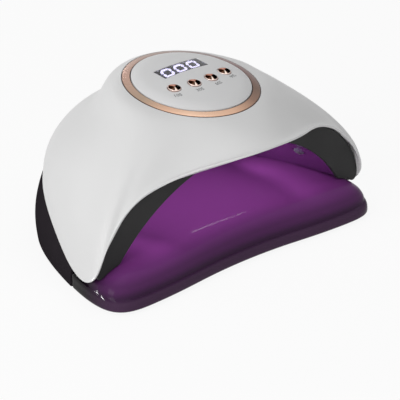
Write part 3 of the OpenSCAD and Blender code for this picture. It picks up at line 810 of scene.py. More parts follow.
# Light-emitting segments behind a diffusing film: pale lilac, bright enough to look nearly
# white through the smoked window, with slight unevenness from the film.
lit, tree, shader = finish("lit_segment", Roughness=0.6, Emission_Strength=13.0)
glow = add(tree, "ShaderNodeTexNoise", {
    "Vector": add(tree, "ShaderNodeTexCoord").outputs["Object"], "Scale": 500.0, "Detail": 1.0})
tone = add(tree, "ShaderNodeMix", {
    "Factor": glow, 6: linear("EAE6FF"), 7: linear("F8F6FF")}, data_type="RGBA")
tree.links.new(tone.outputs[2], shader.inputs["Emission Color"])
tree.links.new(tone.outputs[2], shader.inputs["Base Color"])
digits = new_piece("display_digits", points, faces, lit)
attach(digits, "upper_lamp")

# Timer buttons
# Four spun rose-gold caps, each a shallow cone with a fine turned face and a stem to its switch.
cap_rise = 0.95
stem_end = -11.1
tip_r = 0.01
map_r = 10


def turned(line, count):
    """Points and faces turned about the z axis from a section whose two ends lie on the axis."""
    points, rings, faces = [], [], []
    for r, z in line:
        first = len(points)
        if r == 0:
            points.append((0, 0, z))
            rings.append([first] * count)
        else:
            points += [(x, y, z) for x, y in circle(0, 0, r, count)]
            rings.append(list(range(first, first + count)))
    for a, b in zip(rings, rings[1:]):
        for k in range(count):
            j = (k + 1) % count
            faces.append(tuple(dict.fromkeys((a[k], a[j], b[j], b[k]))))
    return points, faces


def rod(radius, low, high, count):
    """Points and faces of a plain rod about the z axis."""
    return turned([(0, low), (radius, low), (radius, high), (0, high)], count)


def turn_map(mesh, middle):
    """A UV map that runs round a turned piece, so that its brushed shine and its painted sectors
    follow the lathe.
    """
    uv = mesh.uv_layers.new(name="turn")
    back = on_lamp.inverted()
    for polygon in mesh.polygons:
        spots = [back @ mesh.vertices[mesh.loops[k].vertex_index].co * 1000
                 for k in polygon.loop_indices]
        turns = [math.atan2(p.y - middle[1], p.x - middle[0]) / (2 * math.pi) for p in spots]
        radii = [math.hypot(p.y - middle[1], p.x - middle[0]) for p in spots]
        first = next(t for t, r in zip(turns, radii) if r > tip_r)
        turns = [t + round(first - t) for t in turns]
        off_tip = [t for t, r in zip(turns, radii) if r > tip_r]
        pole = sum(off_tip) / len(off_tip)
        for k, t, r in zip(polygon.loop_indices, turns, radii):
            uv.data[k].uv = (t if r > tip_r else pole, r / map_r)


# Spun rose gold over an anisotropic shine. The lathe's grooves are far finer than the picture, so
# the fan of bright and dark sectors about the tip that they would give is painted into the colour as
# painted highlights and painted reflections.
spun, tree, shader = finish(
    "spun_rose_gold", Metallic=1.0, Anisotropic=0.7, Specular_Tint=linear("8A7A74"))
map_uv = add(tree, "ShaderNodeUVMap", uv_map="turn")
tree.links.new(
    add(tree, "ShaderNodeTangent", direction_type="UV_MAP", uv_map="turn").outputs[0],
    shader.inputs["Tangent"])
axes = add(tree, "ShaderNodeSeparateXYZ", {"Vector": map_uv})
sweep = add(tree, "ShaderNodeMath", {0: axes.outputs["X"], 1: 1.0}, operation="FLOORED_MODULO")
# Painted highlights and reflections: bright and dark sectors fixed round each cap's tip.
painted_sheen_fan = add(tree, "ShaderNodeValToRGB", {"Fac": sweep})
painted_sheen_fan.color_ramp.interpolation = "EASE"
ramp(painted_sheen_fan, [
    (0.0, "050302"), (0.06, "0A0605"), (0.1, "DDA696"), (0.2, "E9BDB0"), (0.29, "D8A390"),
    (0.335, "5A3A28"), (0.38, "1A0E08"), (0.5, "2A1A10"), (0.58, "6E5040"), (0.635, "3A2418"),
    (0.655, "F4DCCB"), (0.68, "FFF8F0"), (0.705, "EDC8B4"), (0.735, "0A0605"), (1.0, "050302")])
edge = add(tree, "ShaderNodeMapRange", {
    "Value": axes.outputs["Y"], "From Min": 0.375, "From Max": 0.385})
tone = add(tree, "ShaderNodeMix", {
    "Factor": edge.outputs["Result"], 6: painted_sheen_fan.outputs["Color"], 7: linear("E2CCC4")},
    data_type="RGBA")
tree.links.new(tone.outputs[2], shader.inputs["Base Color"])
groove = add(tree, "ShaderNodeTexNoise", {
    "W": axes.outputs["Y"], "Scale": 90.0, "Detail": 1.0}, noise_dimensions="1D")
worn = add(tree, "ShaderNodeMapRange", {"Value": groove, "To Min": 0.2, "To Max": 0.34})
tree.links.new(worn.outputs["Result"], shader.inputs["Roughness"])

for (x, y), name in zip(button_xy, ("button_10s", "button_30s", "button_60s", "button_99s")):
    seat = dome_at(x, y)
    section = [
        (0, cap_rise), (0.3, cap_rise - 0.02), (0.7, cap_rise - 0.08), (1.6, 0.78), (2.6, 0.61),
        (3.5, 0.45), (3.8, 0.38), (4.0, 0.26), (4.08, 0.12), (4.1, -0.1), (4.1, -3.3), (5.2, -3.3),
        (5.2, -4.3), (1.7, -4.3), (1.7, stem_end - seat), (0, stem_end - seat)]
    points, faces = turned(section, 48)
    points = [on_panel(x + p[0], y + p[1], seat + p[2]) for p in points]
    cap = new_piece(name + "_cap", points, faces, spun, sharp=32)
    turn_map(cap.data, (x, y))
    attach(cap, name + "_body")
    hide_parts(name)

# Time labels
# The seconds of each button, pad-printed in soft grey below it on the same shallow arc.
label_r = 70
label_drop = 7.5
label_shift = -1.4
label_size = 3.8
label_t = 0.03


def lettering(text):
    """Points and faces of one word in a plain face, centred, in millimetres."""
    letters = bpy.data.curves.new("letters", "FONT")
    letters.body = text
    letters.size = label_size
    letters.align_x = "CENTER"
    letters.align_y = "CENTER"
    letters.extrude = label_t / 2
    letters.resolution_u = 3
    holder = bpy.data.objects.new("letters", letters)
    scene.collection.objects.link(holder)
    made = worked(holder)
    bpy.data.objects.remove(holder)
    return [tuple(v.co) for v in made.vertices], [tuple(p.vertices) for p in made.polygons]


# Pad-printing ink: a thin matt grey film, a little uneven where the pad pressed.
ink, tree, shader = finish("pad_print_ink", Roughness=0.55)
place = grained(tree, shader, 0.3, 0.002)
tinted(tree, shader, place, 1.2, "4A4C4F", "56585B")

for (x, y), name in zip(button_xy, ("10S", "30S", "60S", "99S")):
    lean = math.asin(x / label_r)
    middle = (x + label_shift + label_drop * math.sin(lean), y - label_drop * math.cos(lean))
    points, faces = lettering(name)
    placed = []
    for px, py, pz in points:
        lx = middle[0] + px * math.cos(lean) - py * math.sin(lean)
        ly = middle[1] + px * math.sin(lean) + py * math.cos(lean)
        placed.append(on_panel(lx, ly, dome_at(lx, ly) + label_t + pz))
    label = new_piece("label_" + name.lower(), placed, faces, ink)
    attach(label, "upper_lamp")

# Skirt
# The dark rear wall under the hood: near-black ABS that hangs from the hood's edge, round the
# back of the tray, to just above the table, bulging a little. A round hole clears the inlet.
skirt_wall = 2.2
skirt_bulge = 1.5
skirt_fullness = 1.8
bulge_start = 10.9
bulge_span = 1.6
fullness_start = 12.3
fullness_span = 2
skirt_inset = 0.8
skirt_lip = 0.15
skirt_drop = 0.4
skirt_z = 1.6
skirt_start = 11.3
skirt_first = 10
skirt_round = 0.6
skirt_ribs = 90
face_rows = 26
inner_rows = 12
skirt_foot = np.array([
    [109.5, -41, skirt_z], [105.4, -27, skirt_z], [100.9, -13, skirt_z], [94.3, 5, skirt_z],
    [85.8, 24, skirt_z], [75, 43, skirt_z], [59.5, 62, skirt_z], [41, 78.2, skirt_z],
    [21, 89.2, skirt_z], [0, 95.6, skirt_z]])
inlet_z = 36
inlet_hole = 11
hole_start = 70
hole_end = 100


def outward_at(u):
    """Level direction out of the hood's edge."""
    ahead = curve(hood_edge, min(u + 0.05, last_edge)) - curve(hood_edge, min(u, last_edge - 0.05))
    return unit(np.array([ahead[1], -ahead[0], 0]))


def skirt_face(u, f, inset=0):
    """A point of the skirt from its top edge (0) to its foot (1), some way in from its face."""
    top = curve(hood_edge, u) - (0, 0, skirt_drop)
    low = curve(skirt_foot, u - skirt_first)
    full = skirt_bulge * min(1, (u - bulge_start) / bulge_span)
    full += skirt_fullness * min(1, max(0, (u - fullness_start) / fullness_span))
    bulge = full * math.sin(math.pi * f) - skirt_inset * (1 - f)
    return top + (low - top) * f + outward_at(u) * (bulge - inset)


def skirt_at(u, z, inset):
    """A point of the skirt at a height, some way in from its face."""
    top = curve(hood_edge, u)[2] - skirt_drop
    return skirt_face(u, max(0, min(1, (top - z) / (top - skirt_z))), inset)


def skirt_column(u, side):
    """One rib of the skirt: down its face, round its foot and up inside."""
    low = skirt_face(u, 1)
    out = outward_at(u)
    end = 1 - skirt_round / (curve(hood_edge, u)[2] - skirt_drop - skirt_z)
    column = [skirt_face(u, f) for f in np.linspace(0, end, face_rows)]
    column[0] = column[0] - out * skirt_lip
    for inset, turns in ((skirt_round, (30, 60, 90)), (skirt_wall - skirt_round, (90, 120, 150))):
        for turn in np.radians(turns):
            column.append(low - out * (inset - skirt_round * math.cos(turn))
                          + np.array([0, 0, skirt_round * (1 - math.sin(turn))]))
    column += [skirt_face(u, f, skirt_wall) for f in np.linspace(end, 0, inner_rows)]
    return np.array(column) * (side, 1, 1)


def drilled(piece, points, faces):
    """The piece with a solid's space cut out of it."""
    drill = new_piece("drill", points, faces, piece.data.materials[0])
    cut = piece.modifiers.new("cut", "BOOLEAN")
    cut.operation = "DIFFERENCE"
    cut.solver = "EXACT"
    cut.object = drill
    settled(piece)
    bpy.data.objects.remove(drill)
    return piece


def facing_back(part, z):
    """A part turned about the z axis, laid over so that its axis points back at height z."""
    points, faces = part
    return [(p[0], p[2], z - p[1]) for p in points], faces


# Near-black ABS with a trace of warm grey. The photo's light finds no highlight on it, so its
# shine is off and only a slow unevenness of the tone is left.
black_abs = skin(
    "satin_black_abs", (20, "2E2A2E", "2A262A"), grain=(8.0, 0.01), rough=(30, 0.32, 0.42),
    IOR=1.5, Specular_IOR_Level=0.0)

places = np.linspace(skirt_start, last_edge, skirt_ribs)
columns = [skirt_column(u, 1) for u in places] + [skirt_column(u, -1) for u in places[-2::-1]]
rows = len(columns[0])
faces = grid_faces(len(columns), rows, closed_columns=False)
faces.append(tuple(range(rows)))
faces.append(tuple(range(len(columns) * rows - 1, (len(columns) - 1) * rows - 1, -1)))
skirt = new_piece("skirt", np.concatenate(columns), faces, black_abs)
drilled(skirt, *facing_back(rod(inlet_hole / 2, hole_start, hole_end, 64), inlet_z))
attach(skirt, "upper_lamp")
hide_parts("lower_housing")

# Power inlet
# A moulded jack in the skirt's hole at the back: a bevelled housing inside, a round barrel
# with a bore, and its contact pin.
inlet_bore_r = 3.15


def solid_box(low, high, bevel):
    """Points and faces of a box with bevelled edges."""
    work = bmesh.new()
    bmesh.ops.create_cube(work, size=1.0)
    low, high = np.array(low), np.array(high)
    for v in work.verts:
        v.co = Vector((low + high) / 2 + np.array(v.co) * (high - low))
    bmesh.ops.bevel(work, geom=work.edges[:], offset=bevel, segments=2, profile=0.5,
                    affect="EDGES", clamp_overlap=True)
    work.verts.index_update()
    points = [tuple(v.co) for v in work.verts]
    faces = [tuple(v.index for v in f.verts) for f in work.faces]
    work.free()
    return points, faces


# Glass-filled nylon, matt black from a textured mould.
nylon = skin(
    "moulded_black_nylon", (3, "1C1C1E", "232325"), grain=(0.4, 0.01), rough=(5, 0.5, 0.62),
    Specular_IOR_Level=0.3)
barrel = turned([
    (0, 77), (inlet_bore_r, 77), (inlet_bore_r, 84.9), (inlet_bore_r + 0.3, 85.2), (4.7, 85.2),
    (4.92, 85.1), (5, 84.9), (5, 81), (3.6, 81), (3.6, 77), (0, 76.9)], 48)
points, faces = joined(
    facing_back(barrel, inlet_z), solid_box((-5.5, 74, 28), (5.5, 81.2, 40.5), 0.4))
inlet = new_piece("inlet_socket", points, faces, nylon)
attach(inlet, "upper_lamp")
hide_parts("dc_jack")

# Turned brass with a nickel flash, bright with fine rings.
brass = skin(
    "turned_brass", (1, "D9B468", "C9A255"), grain=(0.2, 0.002), rough=(1.5, 0.22, 0.34),
    Metallic=1.0)
points, faces = facing_back(
    turned([(0, 76.9), (1, 76.9), (1, 84.9), (0.8, 85.3), (0.4, 85.5), (0, 85.5)], 24), inlet_z)
pin = new_piece("inlet_pin", points, faces, brass)
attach(pin, "upper_lamp")

# Arch plate
# The charcoal plate that frames the hand opening: a leaning arch of matt ABS with softened
# edges, rounded where its two feet end above the tray.
arch_r = 115
arch_z = -42
plate_t = 2.4
plate_lean = math.radians(5.72)
plate_y = -54.15
plate_bevel = 0.35
arc_parts = 110
line_parts = 5
foot_z = 24.75
# Half of the plate's outline: the turn from arch to foot, the rounded foot, the side up to the
# middle, which goes a little further out from the heart of the opening to lie under the hood,
# and a point past the middle that steers it.
foot_corner = [(94.15, 24.45), (94.5, 24.3)]
foot_line = [
    [94, 24.4], [98, 23.4], [102, 21.9], [104.5, 20.7], [106.4, 19.6], [108.2, 18.9],
    [110, 19.3], [111.3, 21], [111.6, 23.6]]
side_line = [
    [110.8, 27.5], [108.2, 33.6], [105, 40], [100.2, 46.4], [95, 52], [91.4, 55.5], [86.2, 59.6],
    [79.5, 64], [73, 67.4], [67.1, 70], [61.1, 72.6], [55.1, 75.4], [49.7, 78.3], [44.5, 81],
    [39.3, 83.7], [34.6, 86], [30.2, 87.9], [25.7, 89.4], [18.2, 90.3], [10.6, 90.5], [0, 90.6]]
side_more = 0.55
heart = (0, 20)
past_middle = (-10.6, 91.05)


def through(points, parts, ahead=None, behind=None):
    """A smooth line through the points, with some places between each two of them."""
    points = [np.array(p, dtype=float) for p in points]
    first = 2 * points[0] - points[1] if behind is None else np.array(behind)
    last = 2 * points[-1] - points[-2] if ahead is None else np.array(ahead)
    full = [first] + points + [last]
    line = []
    for k in range(1, len(full) - 2):
        a, b, c, d = full[k - 1:k + 3]
        for f in np.arange(parts) / parts:
            line.append(0.5 * (2 * b + (c - a) * f + (2 * a - 5 * b + 4 * c - d) * f * f
                               + (3 * b - a - 3 * c + d) * f ** 3))
    return line + [points[-1]]


def on_plate(x, z, depth):
    """A point of the leaning plate at a height on its front face, some way behind that face."""
    h = z / math.cos(plate_lean)
    return (x, plate_y - h * math.sin(plate_lean) + depth * math.cos(plate_lean),
            z + depth * math.sin(plate_lean))


# Matt charcoal ABS from an etched mould: fine grain that scatters the light evenly.
charcoal_abs = skin(
    "etched_charcoal_abs", (15, "313131", "333333"), grain=(0.35, 0.012), rough=(20, 0.56, 0.66),
    Specular_IOR_Level=0.15)

rim_line = [np.array(p) + unit(np.array(p) - heart) * side_more for p in side_line]
half_line = through(foot_line + rim_line, line_parts, ahead=past_middle)[1:]
foot_turn = math.asin((foot_z - arch_z) / arch_r)
arc = [(arch_r * math.cos(a), arch_z + arch_r * math.sin(a))
       for a in np.linspace(foot_turn, math.pi / 2, arc_parts)]
right = arc[::-1] + foot_corner + half_line
line = right + [(-x, z) for x, z in right[-2:0:-1]]
level = plate_t * math.tan(plate_lean)
drops = [level if k < len(arc) or k > len(line) - len(arc) else 0 for k in range(len(line))]
plate = new_piece("arch_plate", *slab(
    [on_plate(x, z, 0) for x, z in line],
    [on_plate(x, z - drop, plate_t) for (x, z), drop in zip(line, drops)]), charcoal_abs)
soft = plate.modifiers.new("soft", "BEVEL")
soft.width = plate_bevel * 0.001
soft.segments = 3
soft.limit_method = "ANGLE"
soft.angle_limit = math.radians(50)
soft.harden_normals = True
settled(plate)
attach(plate, "upper_lamp")
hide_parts("arch_bezel")

# Reflector
# The bright half dome over the hand: a thin moulding, metallised inside and out, with a hole
# for each lamp and two for the sensors. It mirrors the tray, so from outside it looks purple.
liner_len = 165.7
liner_y = -60
liner_t = 1.6
liner_foot = 24.95
liner_back = 2.5
liner_flare = 0.7
flare_power = 12
dome_ribs = 121
dome_rows = 56
row_crowding = 1.7
led_hole = 7.2
led_rows = [(-38, 7, 14), (-10, 7, 13), (16, 5, 17), (40, 5, 13.5), (58, 3, 12)]
sensor_xy = (15, -49.5)
sensor_d = 4.6
sensor_hole = 5.2
ears = [(94.5, -20, 4), (14, 78.2, 3)]
tab_z = 28
tab_r = 3.5
tab_reach = 7.2


def liner_r(y):
    """Radius of the reflector's inner face about the arch's axis, from front to back."""
    return arch_r * math.sqrt(max(0, 1 - ((y - liner_y) / liner_len) ** 2))


def liner_slope(y):
    """Lean of that face against the arch's axis."""
    return math.atan((arch_r / liner_len) ** 2 * (y - liner_y) / liner_r(y))


def led_spots():
    """Place and outward direction of every lamp."""
    for y, number, step in led_rows:
        for k in range(number):
            turn = math.radians((k - (number - 1) / 2) * step)
            out = np.array([math.sin(turn), 0, math.cos(turn)])
            slope = liner_slope(y)
            yield (np.array([0, y, arch_z]) + out * liner_r(y),
                   out * math.cos(slope) + np.array([0, math.sin(slope), 0]))


def liner_line(share, more):
    """One rib of the reflector, from the arch to its closed end at the back: share is 1 and -1
    at its two feet and 0 on top, and more is the way out from its inner face."""
    end = liner_y + liner_len * math.sqrt(1 - ((liner_foot - arch_z - more) / arch_r) ** 2)
    line = []
    for t in 1 - (1 - np.linspace(0, 1, dome_rows)) ** row_crowding:
        y = plate_y
        for _ in range(6):
            wide = math.acos(min(1, (liner_foot - arch_z) / (liner_r(y) + more)))
            z = arch_z + (liner_r(y) + more) * math.cos(wide * share)
            front = plate_y - (z - liner_back * math.sin(plate_lean)) * math.tan(plate_lean)
            front += liner_back * math.cos(plate_lean)
            y = front + (end - front) * t
        wide = math.acos(min(1, (liner_foot - arch_z) / (liner_r(y) + more)))
        reach = liner_r(y) + more + liner_flare * (1 - t) ** flare_power
        line.append((reach * math.sin(wide * share), y, arch_z + reach * math.cos(wide * share)))
    return line


def cutter(places, radius, length, sides):
    """Pegs that cut holes: one along each direction through each place."""
    parts = []
    for spot, aim in places:
        turn = Vector(aim).to_track_quat("Z", "Y").to_matrix()
        points, faces = rod(radius, -length, length, sides)
        parts.append(([tuple(Vector(spot) + turn @ Vector(p)) for p in points], faces))
    return joined(*parts)


# Vacuum-metallised ABS: a bright mirror with the slight waviness of a moulded skin.
mirror = skin(
    "vacuum_metallised_abs", (20, "DADADF", "D3D3D9"), grain=(9.0, 0.02), rough=(12, 0.12, 0.2),
    Metallic=1.0)

shares = np.linspace(1, -1, dome_ribs)
columns = [liner_line(s, 0) + liner_line(s, liner_t)[::-1] for s in shares]
rows = len(columns[0])
faces = grid_faces(len(columns), rows, closed_columns=False)
for k in (0, (len(columns) - 1) * rows):
    strip = [(k + j, k + j + 1, k + rows - 2 - j, k + rows - 1 - j) for j in range(rows // 2 - 1)]
    faces += strip if k else [f[::-1] for f in strip]
liner = new_piece("reflector_dome", np.concatenate(columns), faces, mirror)
sensor_spots = [((s * sensor_xy[0], sensor_xy[1], 72), (0, 0, 1)) for s in (-1, 1)]
drilled(liner, *joined(
    cutter(led_spots(), led_hole / 2, 5, 32), cutter(sensor_spots, sensor_hole / 2, 6, 24)))
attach(liner, "upper_lamp")
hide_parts("reflector_liner")

parts = []
for s in (-1, 1):
    for x, y, height in ears:
        toward = -math.pi / 2 if y > 0 else math.pi / 2 * (1 + s)
        tab = [(s * x + tab_r * math.cos(a), y + tab_r * math.sin(a))
               for a in toward + math.pi + np.radians(np.linspace(-90, 90, 13))]
        tab += [(px + math.cos(toward) * tab_reach, py + math.sin(toward) * tab_reach)
                for px, py in (tab[-1], tab[0])]
        parts.append(slab([(px, py, tab_z) for px, py in tab],
                          [(px, py, tab_z + height) for px, py in tab]))
tabs = new_piece("reflector_tabs", *joined(*parts), mirror)
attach(tabs, "upper_lamp")

# Tray
# The purple lift-off tray: a flat floor with a rolled front edge that drops to a crease and a
# lip, straighter sides and a plain rear under the skirt. Its sections change along its outline.
tray_top = 24.6
tray_under = 22.4
tray_middle = (0, -10)
# Half of the tray's outline, from the middle of its front, and the line inside it where the
# floor begins.
tray_line = np.array([
    [0, -70.2], [18, -70.6], [36, -72], [54, -74.2], [70, -75.5], [84, -76.1], [96.5, -76.2],
    [106.3, -73], [111, -65.5], [111.5, -56], [110, -45], [107.6, -35], [105, -26], [103.5, -20]])
floor_line = np.array([
    [0, -46], [17, -46.5], [34, -48], [50, -50], [64, -51], [76, -51], [84, -50],
    [88, -48], [90, -45], [91, -40], [91, -35], [90, -30], [89, -25], [88, -20]])
# Sections from the outline inwards and up: the lip, the roll above its crease, the floor's edge
# and back down inside the wall. They give the way in and the height.
crease = 4
floor_row = 9
floor_more = 1.04
section_parts = 6
front_end = 5.5
side_start = 9
outline_parts = 10
rear_parts = 67
rear_start = 12.3
rear_gap = 3.3
rear_floor = 13.3
front_section = [
    [1.2, 1.5], [0, 3], [0, 6.4], [1, 8.2], [2.6, 8.8], [3.6, 13], [6.2, 17.6], [10.5, 21.6],
    [16, 23.9], [23, 24.6], [23, 22.4], [15.5, 21.2], [9.4, 18], [5.8, 12.5], [3.6, 8], [3.4, 1.5]]
side_section = [
    [1, 1.5], [0, 3], [0, 6.5], [0, 9], [0.3, 11.2], [1.1, 13.9], [2.8, 17], [6.2, 20.3], [11, 22.8],
    [18, 24.6], [18, 22.4], [10.5, 20.2], [6.4, 17.4], [3.6, 12.4], [2.3, 6], [3.2, 1.5]]
covered_section = [
    [1, 1.5], [0, 3], [0, 6.5], [0, 9], [0.3, 10.6], [2.1, 11.8], [2.9, 16], [4.4, 20.3],
    [8.5, 23], [18, 24.6], [18, 22.4], [9.6, 20.7], [5.8, 17.5], [4.3, 11.4], [2.6, 7.5], [3.2, 1.5]]
rear_section = [
    [0.3, 1.5], [0, 2.5], [0, 7], [0, 11], [0, 15], [0, 19], [0, 22.6], [0.5, 24], [1.6, 24.6],
    [10, 24.6], [10, 22.4], [4, 22.4], [2.4, 20.5], [2.3, 12], [2.3, 6], [2.5, 1.5]]


def run(points, u):
    """Place u on an open smooth curve whose last point only steers it."""
    k, last = int(u), len(points) - 1
    before = points[abs(k - 1)] * ((-1, 1) if k == 0 else (1, 1))
    return weights(u - k) @ np.array(
        [before, points[min(k, last)], points[min(k + 1, last)], points[min(k + 2, last)]])


def smooth_section(section):
    """Shares of the way in, and heights, along a section: smooth up to the crease, smooth from
    there to the floor, level where it meets the floor, and smooth again inside."""
    width = section[floor_row][0]
    lip_part = through(section[:crease + 1], section_parts)
    top = through(
        section[crease:floor_row + 1], section_parts, ahead=(width + 8, section[floor_row][1]))
    under = through(
        section[floor_row + 1:], section_parts, behind=(width + 8, section[floor_row + 1][1]))
    edge = [(width * floor_more, tray_top), (width * floor_more, tray_under)]
    return np.array([(p[0] / width, p[1]) for p in lip_part + top[1:] + edge + under])


front, side, covered, rear = (
    smooth_section(s) for s in (front_section, side_section, covered_section, rear_section))


def tray_section(u):
    """The section at a place of the outline: front, then side, then under the hood."""
    if u < side_start:
        f = eased(max(0, u - front_end) / (side_start - front_end))
        return front * (1 - f) + side * f
    f = min(1, u - side_start)
    return side * (1 - f) + covered * f


def rear_station(u):
    """Outline, floor line and section inside the skirt."""
    return skirt_at(u, tray_top, rear_gap)[:2], skirt_at(u, tray_top, rear_floor)[:2], rear


last_place = (len(tray_line) - 2) * outline_parts
stations = [(run(tray_line, u), run(floor_line, u), tray_section(u))
            for u in np.arange(last_place + 1) / outline_parts]
bend = [
    stations[-1], (np.array([104.3, -25]), np.array([89, -24]), covered),
    (np.array([100.6, -24.1]), np.array([89, -21]), rear),
    (np.array([97.2, -18.5]), np.array([87.8, -17.5]), rear), rear_station(rear_start)]
for a, b in zip(bend, bend[1:]):
    for f in (0.25, 0.5, 0.75, 1):
        stations.append(tuple(p * (1 - f) + q * f for p, q in zip(a, b)))
stations += [rear_station(u) for u in np.linspace(rear_start + 0.1, last_edge, rear_parts)]
half_columns = []
for outer, inner, section in stations:
    flat = outer + (inner - outer) * section[:, :1]
    half_columns.append(np.column_stack([flat, section[:, 1]]))
columns = half_columns + [c * (-1, 1, 1) for c in half_columns[-2:0:-1]]
rows = len(columns[0])
edge_row = int(np.argmax(front[:, 0]))
points = [tuple(p) for column in columns for p in column]
points += [(*tray_middle, tray_top), (*tray_middle, tray_under)]
faces = [f for f in grid_faces(len(columns), rows) if f[0] % rows != edge_row]
for k in range(len(columns)):
    a, b = k * rows + edge_row, (k + 1) % len(columns) * rows + edge_row
    faces += [(a, b, len(points) - 2), (b + 1, a + 1, len(points) - 1)]

# Gloss purple ABS from a polished mould, in a dense pigment with a slow random drift of tone. Its
# colour carries painted shade: violet on the floor, darker down the rolled front to a dark plum at
# the crease, and a greyer plum on the lip with a painted grey reflection. Towards the back, the
# outer sides are painted nearly black as shade.
purple_abs, tree, shader = finish("gloss_purple_abs", IOR=1.5, Specular_IOR_Level=0.05)
place = grained(tree, shader, 7.0, 0.006)
varied(tree, shader, place, "Roughness", 30, 0.12, 0.16)
axes = add(tree, "ShaderNodeSeparateXYZ", {"Vector": place})
level = add(tree, "ShaderNodeMapRange", {
    "Value": axes.outputs["Z"], "From Min": 0.0, "From Max": 0.025})
# Painted shade: the colour darkens with height from the floor's violet down the roll to the crease,
# then turns a greyer plum on the lip.
painted_roll_shade = add(tree, "ShaderNodeValToRGB", {"Fac": level.outputs["Result"]})
painted_roll_shade.color_ramp.interpolation = "EASE"
ramp(painted_roll_shade, [
    (0.3, "4A344C"), (0.37, "3E2542"), (0.6, "5A2F5F"), (0.84, "74387B"), (0.97, "7A3780")])
drift = add(tree, "ShaderNodeTexNoise", {"Vector": place, "Scale": 30.0, "Detail": 2.0})
share = add(tree, "ShaderNodeMapRange", {"Value": drift, "To Min": 0.0, "To Max": 0.08})
tone = add(tree, "ShaderNodeMix", {
    "Factor": share.outputs["Result"], 6: painted_roll_shade.outputs["Color"], 7: linear("5A3560")},
    data_type="RGBA")
# Painted shade: towards the back, the outer sides below the floor are painted nearly black.
rearward = add(tree, "ShaderNodeMapRange", {
    "Value": axes.outputs["Y"], "From Min": -0.072, "From Max": -0.034},
    interpolation_type="SMOOTHSTEP")
below = add(tree, "ShaderNodeMapRange", {
    "Value": axes.outputs["Z"], "From Min": 0.0235, "From Max": 0.017},
    interpolation_type="SMOOTHSTEP")
painted_side_shade = add(tree, "ShaderNodeMath", {0: rearward, 1: below}, operation="MULTIPLY")
side_shade_tone = add(tree, "ShaderNodeMix", {
    "Factor": painted_side_shade, 6: tone.outputs[2], 7: linear("100D10")}, data_type="RGBA")
tree.links.new(side_shade_tone.outputs[2], shader.inputs["Base Color"])
tray = new_piece("tray", points, faces, purple_abs, sharp=40)
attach(tray, "base")
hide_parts("base_tray")

# Lamps
# Each lamp is a clear moulded lens in a hole of the reflector over a small light-emitting chip.
# Both are grown on one point for each lamp, turned to its hole.
lens_r = 3.3
lens_in = 1.3
lens_out = 1.9
chip_w = 3.4
chip_t = 0.32
chip_gap = 0.03


def aimed(tree, points, part):
    """A part placed on every seed point and turned so that its z axis follows the aim."""
    aim = add(tree, "GeometryNodeInputNamedAttribute", {"Name": "aim"}, data_type="FLOAT_VECTOR")
    turn = add(tree, "FunctionNodeAlignRotationToVector", {
        "Vector": aim.outputs["Attribute"]}, axis="Z")
    return add(tree, "GeometryNodeInstanceOnPoints", {
        "Points": points, "Instance": part, "Rotation": turn.outputs["Rotation"]})


# Moulded silicone lens: clear with a trace of blue, and lightly frosted.
clear = skin(
    "frosted_silicone_lens", (4, "EEF2FA", "E8EEF8"), rough=(2, 0.3, 0.4),
    IOR=1.41, Transmission_Weight=1.0)

tree, sizes, output = new_growth("lamp_lenses", "Radius", "Inner height", "Outer height")
ball = add(tree, "GeometryNodeMeshUVSphere", {"Segments": 24, "Rings": 14, "Radius": 1.0})
spot = add(tree, "GeometryNodeInputPosition")
axes = add(tree, "ShaderNodeSeparateXYZ", {"Vector": spot})
below = add(tree, "FunctionNodeCompare", {0: axes.outputs["Z"]}, operation="LESS_THAN")
height = add(tree, "GeometryNodeSwitch", {
    "Switch": below, "False": sizes.outputs["Outer height"], "True": sizes.outputs["Inner height"]},
    input_type="FLOAT")
scale = add(tree, "ShaderNodeCombineXYZ", {
    "X": sizes.outputs["Radius"], "Y": sizes.outputs["Radius"], "Z": height})
placed = add(tree, "ShaderNodeVectorMath", {0: spot, 1: scale}, operation="MULTIPLY")
dome_lens = add(tree, "GeometryNodeSetPosition", {"Geometry": ball, "Position": placed})
ending(tree, aimed(tree, sizes.outputs["Geometry"], dome_lens), output, clear)
seeds, aims = zip(*led_spots())
lenses = grown("lamp_lens_set", tree, {
    "Radius": lens_r, "Inner height": lens_in, "Outer height": lens_out}, seeds, aims)
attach(lenses, "upper_lamp")
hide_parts("led_lenses")

# Ceramic chip under clear resin: pale yellow with a violet cast where the dies lie.
chip = skin(
    "resin_covered_led_chip", (1.2, "D9D2A8", "B9A9D8"), grain=(0.4, 0.004),
    Roughness=0.3, IOR=1.5)
tree, sizes, output = new_growth("lamp_chips", "Width", "Thickness", "Lift")
size = add(tree, "ShaderNodeCombineXYZ", {
    "X": sizes.outputs["Width"], "Y": sizes.outputs["Width"], "Z": sizes.outputs["Thickness"]})
block = add(tree, "GeometryNodeMeshCube", {
    "Size": size, "Vertices X": 4, "Vertices Y": 4, "Vertices Z": 2})
lift = add(tree, "ShaderNodeCombineXYZ", {"Z": sizes.outputs["Lift"]})
lifted = add(tree, "GeometryNodeTransform", {"Geometry": block, "Translation": lift})
ending(tree, aimed(tree, sizes.outputs["Geometry"], lifted), output, chip)
chips = grown("lamp_chip_set", tree, {
    "Width": chip_w, "Thickness": chip_t, "Lift": lens_out + chip_gap + chip_t / 2}, seeds, aims)
chips.data.set_sharp_from_angle(angle=math.radians(30))
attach(chips, "upper_lamp")

# Hand sensors
# Two dark domed infrared parts that look down through the reflector behind the arch.
sensor_low = 70.6
sensor_cap_z = 77.6
sensor_high = 79.6
sensor_cap_r = 3.2
sensor_rise = 1.3

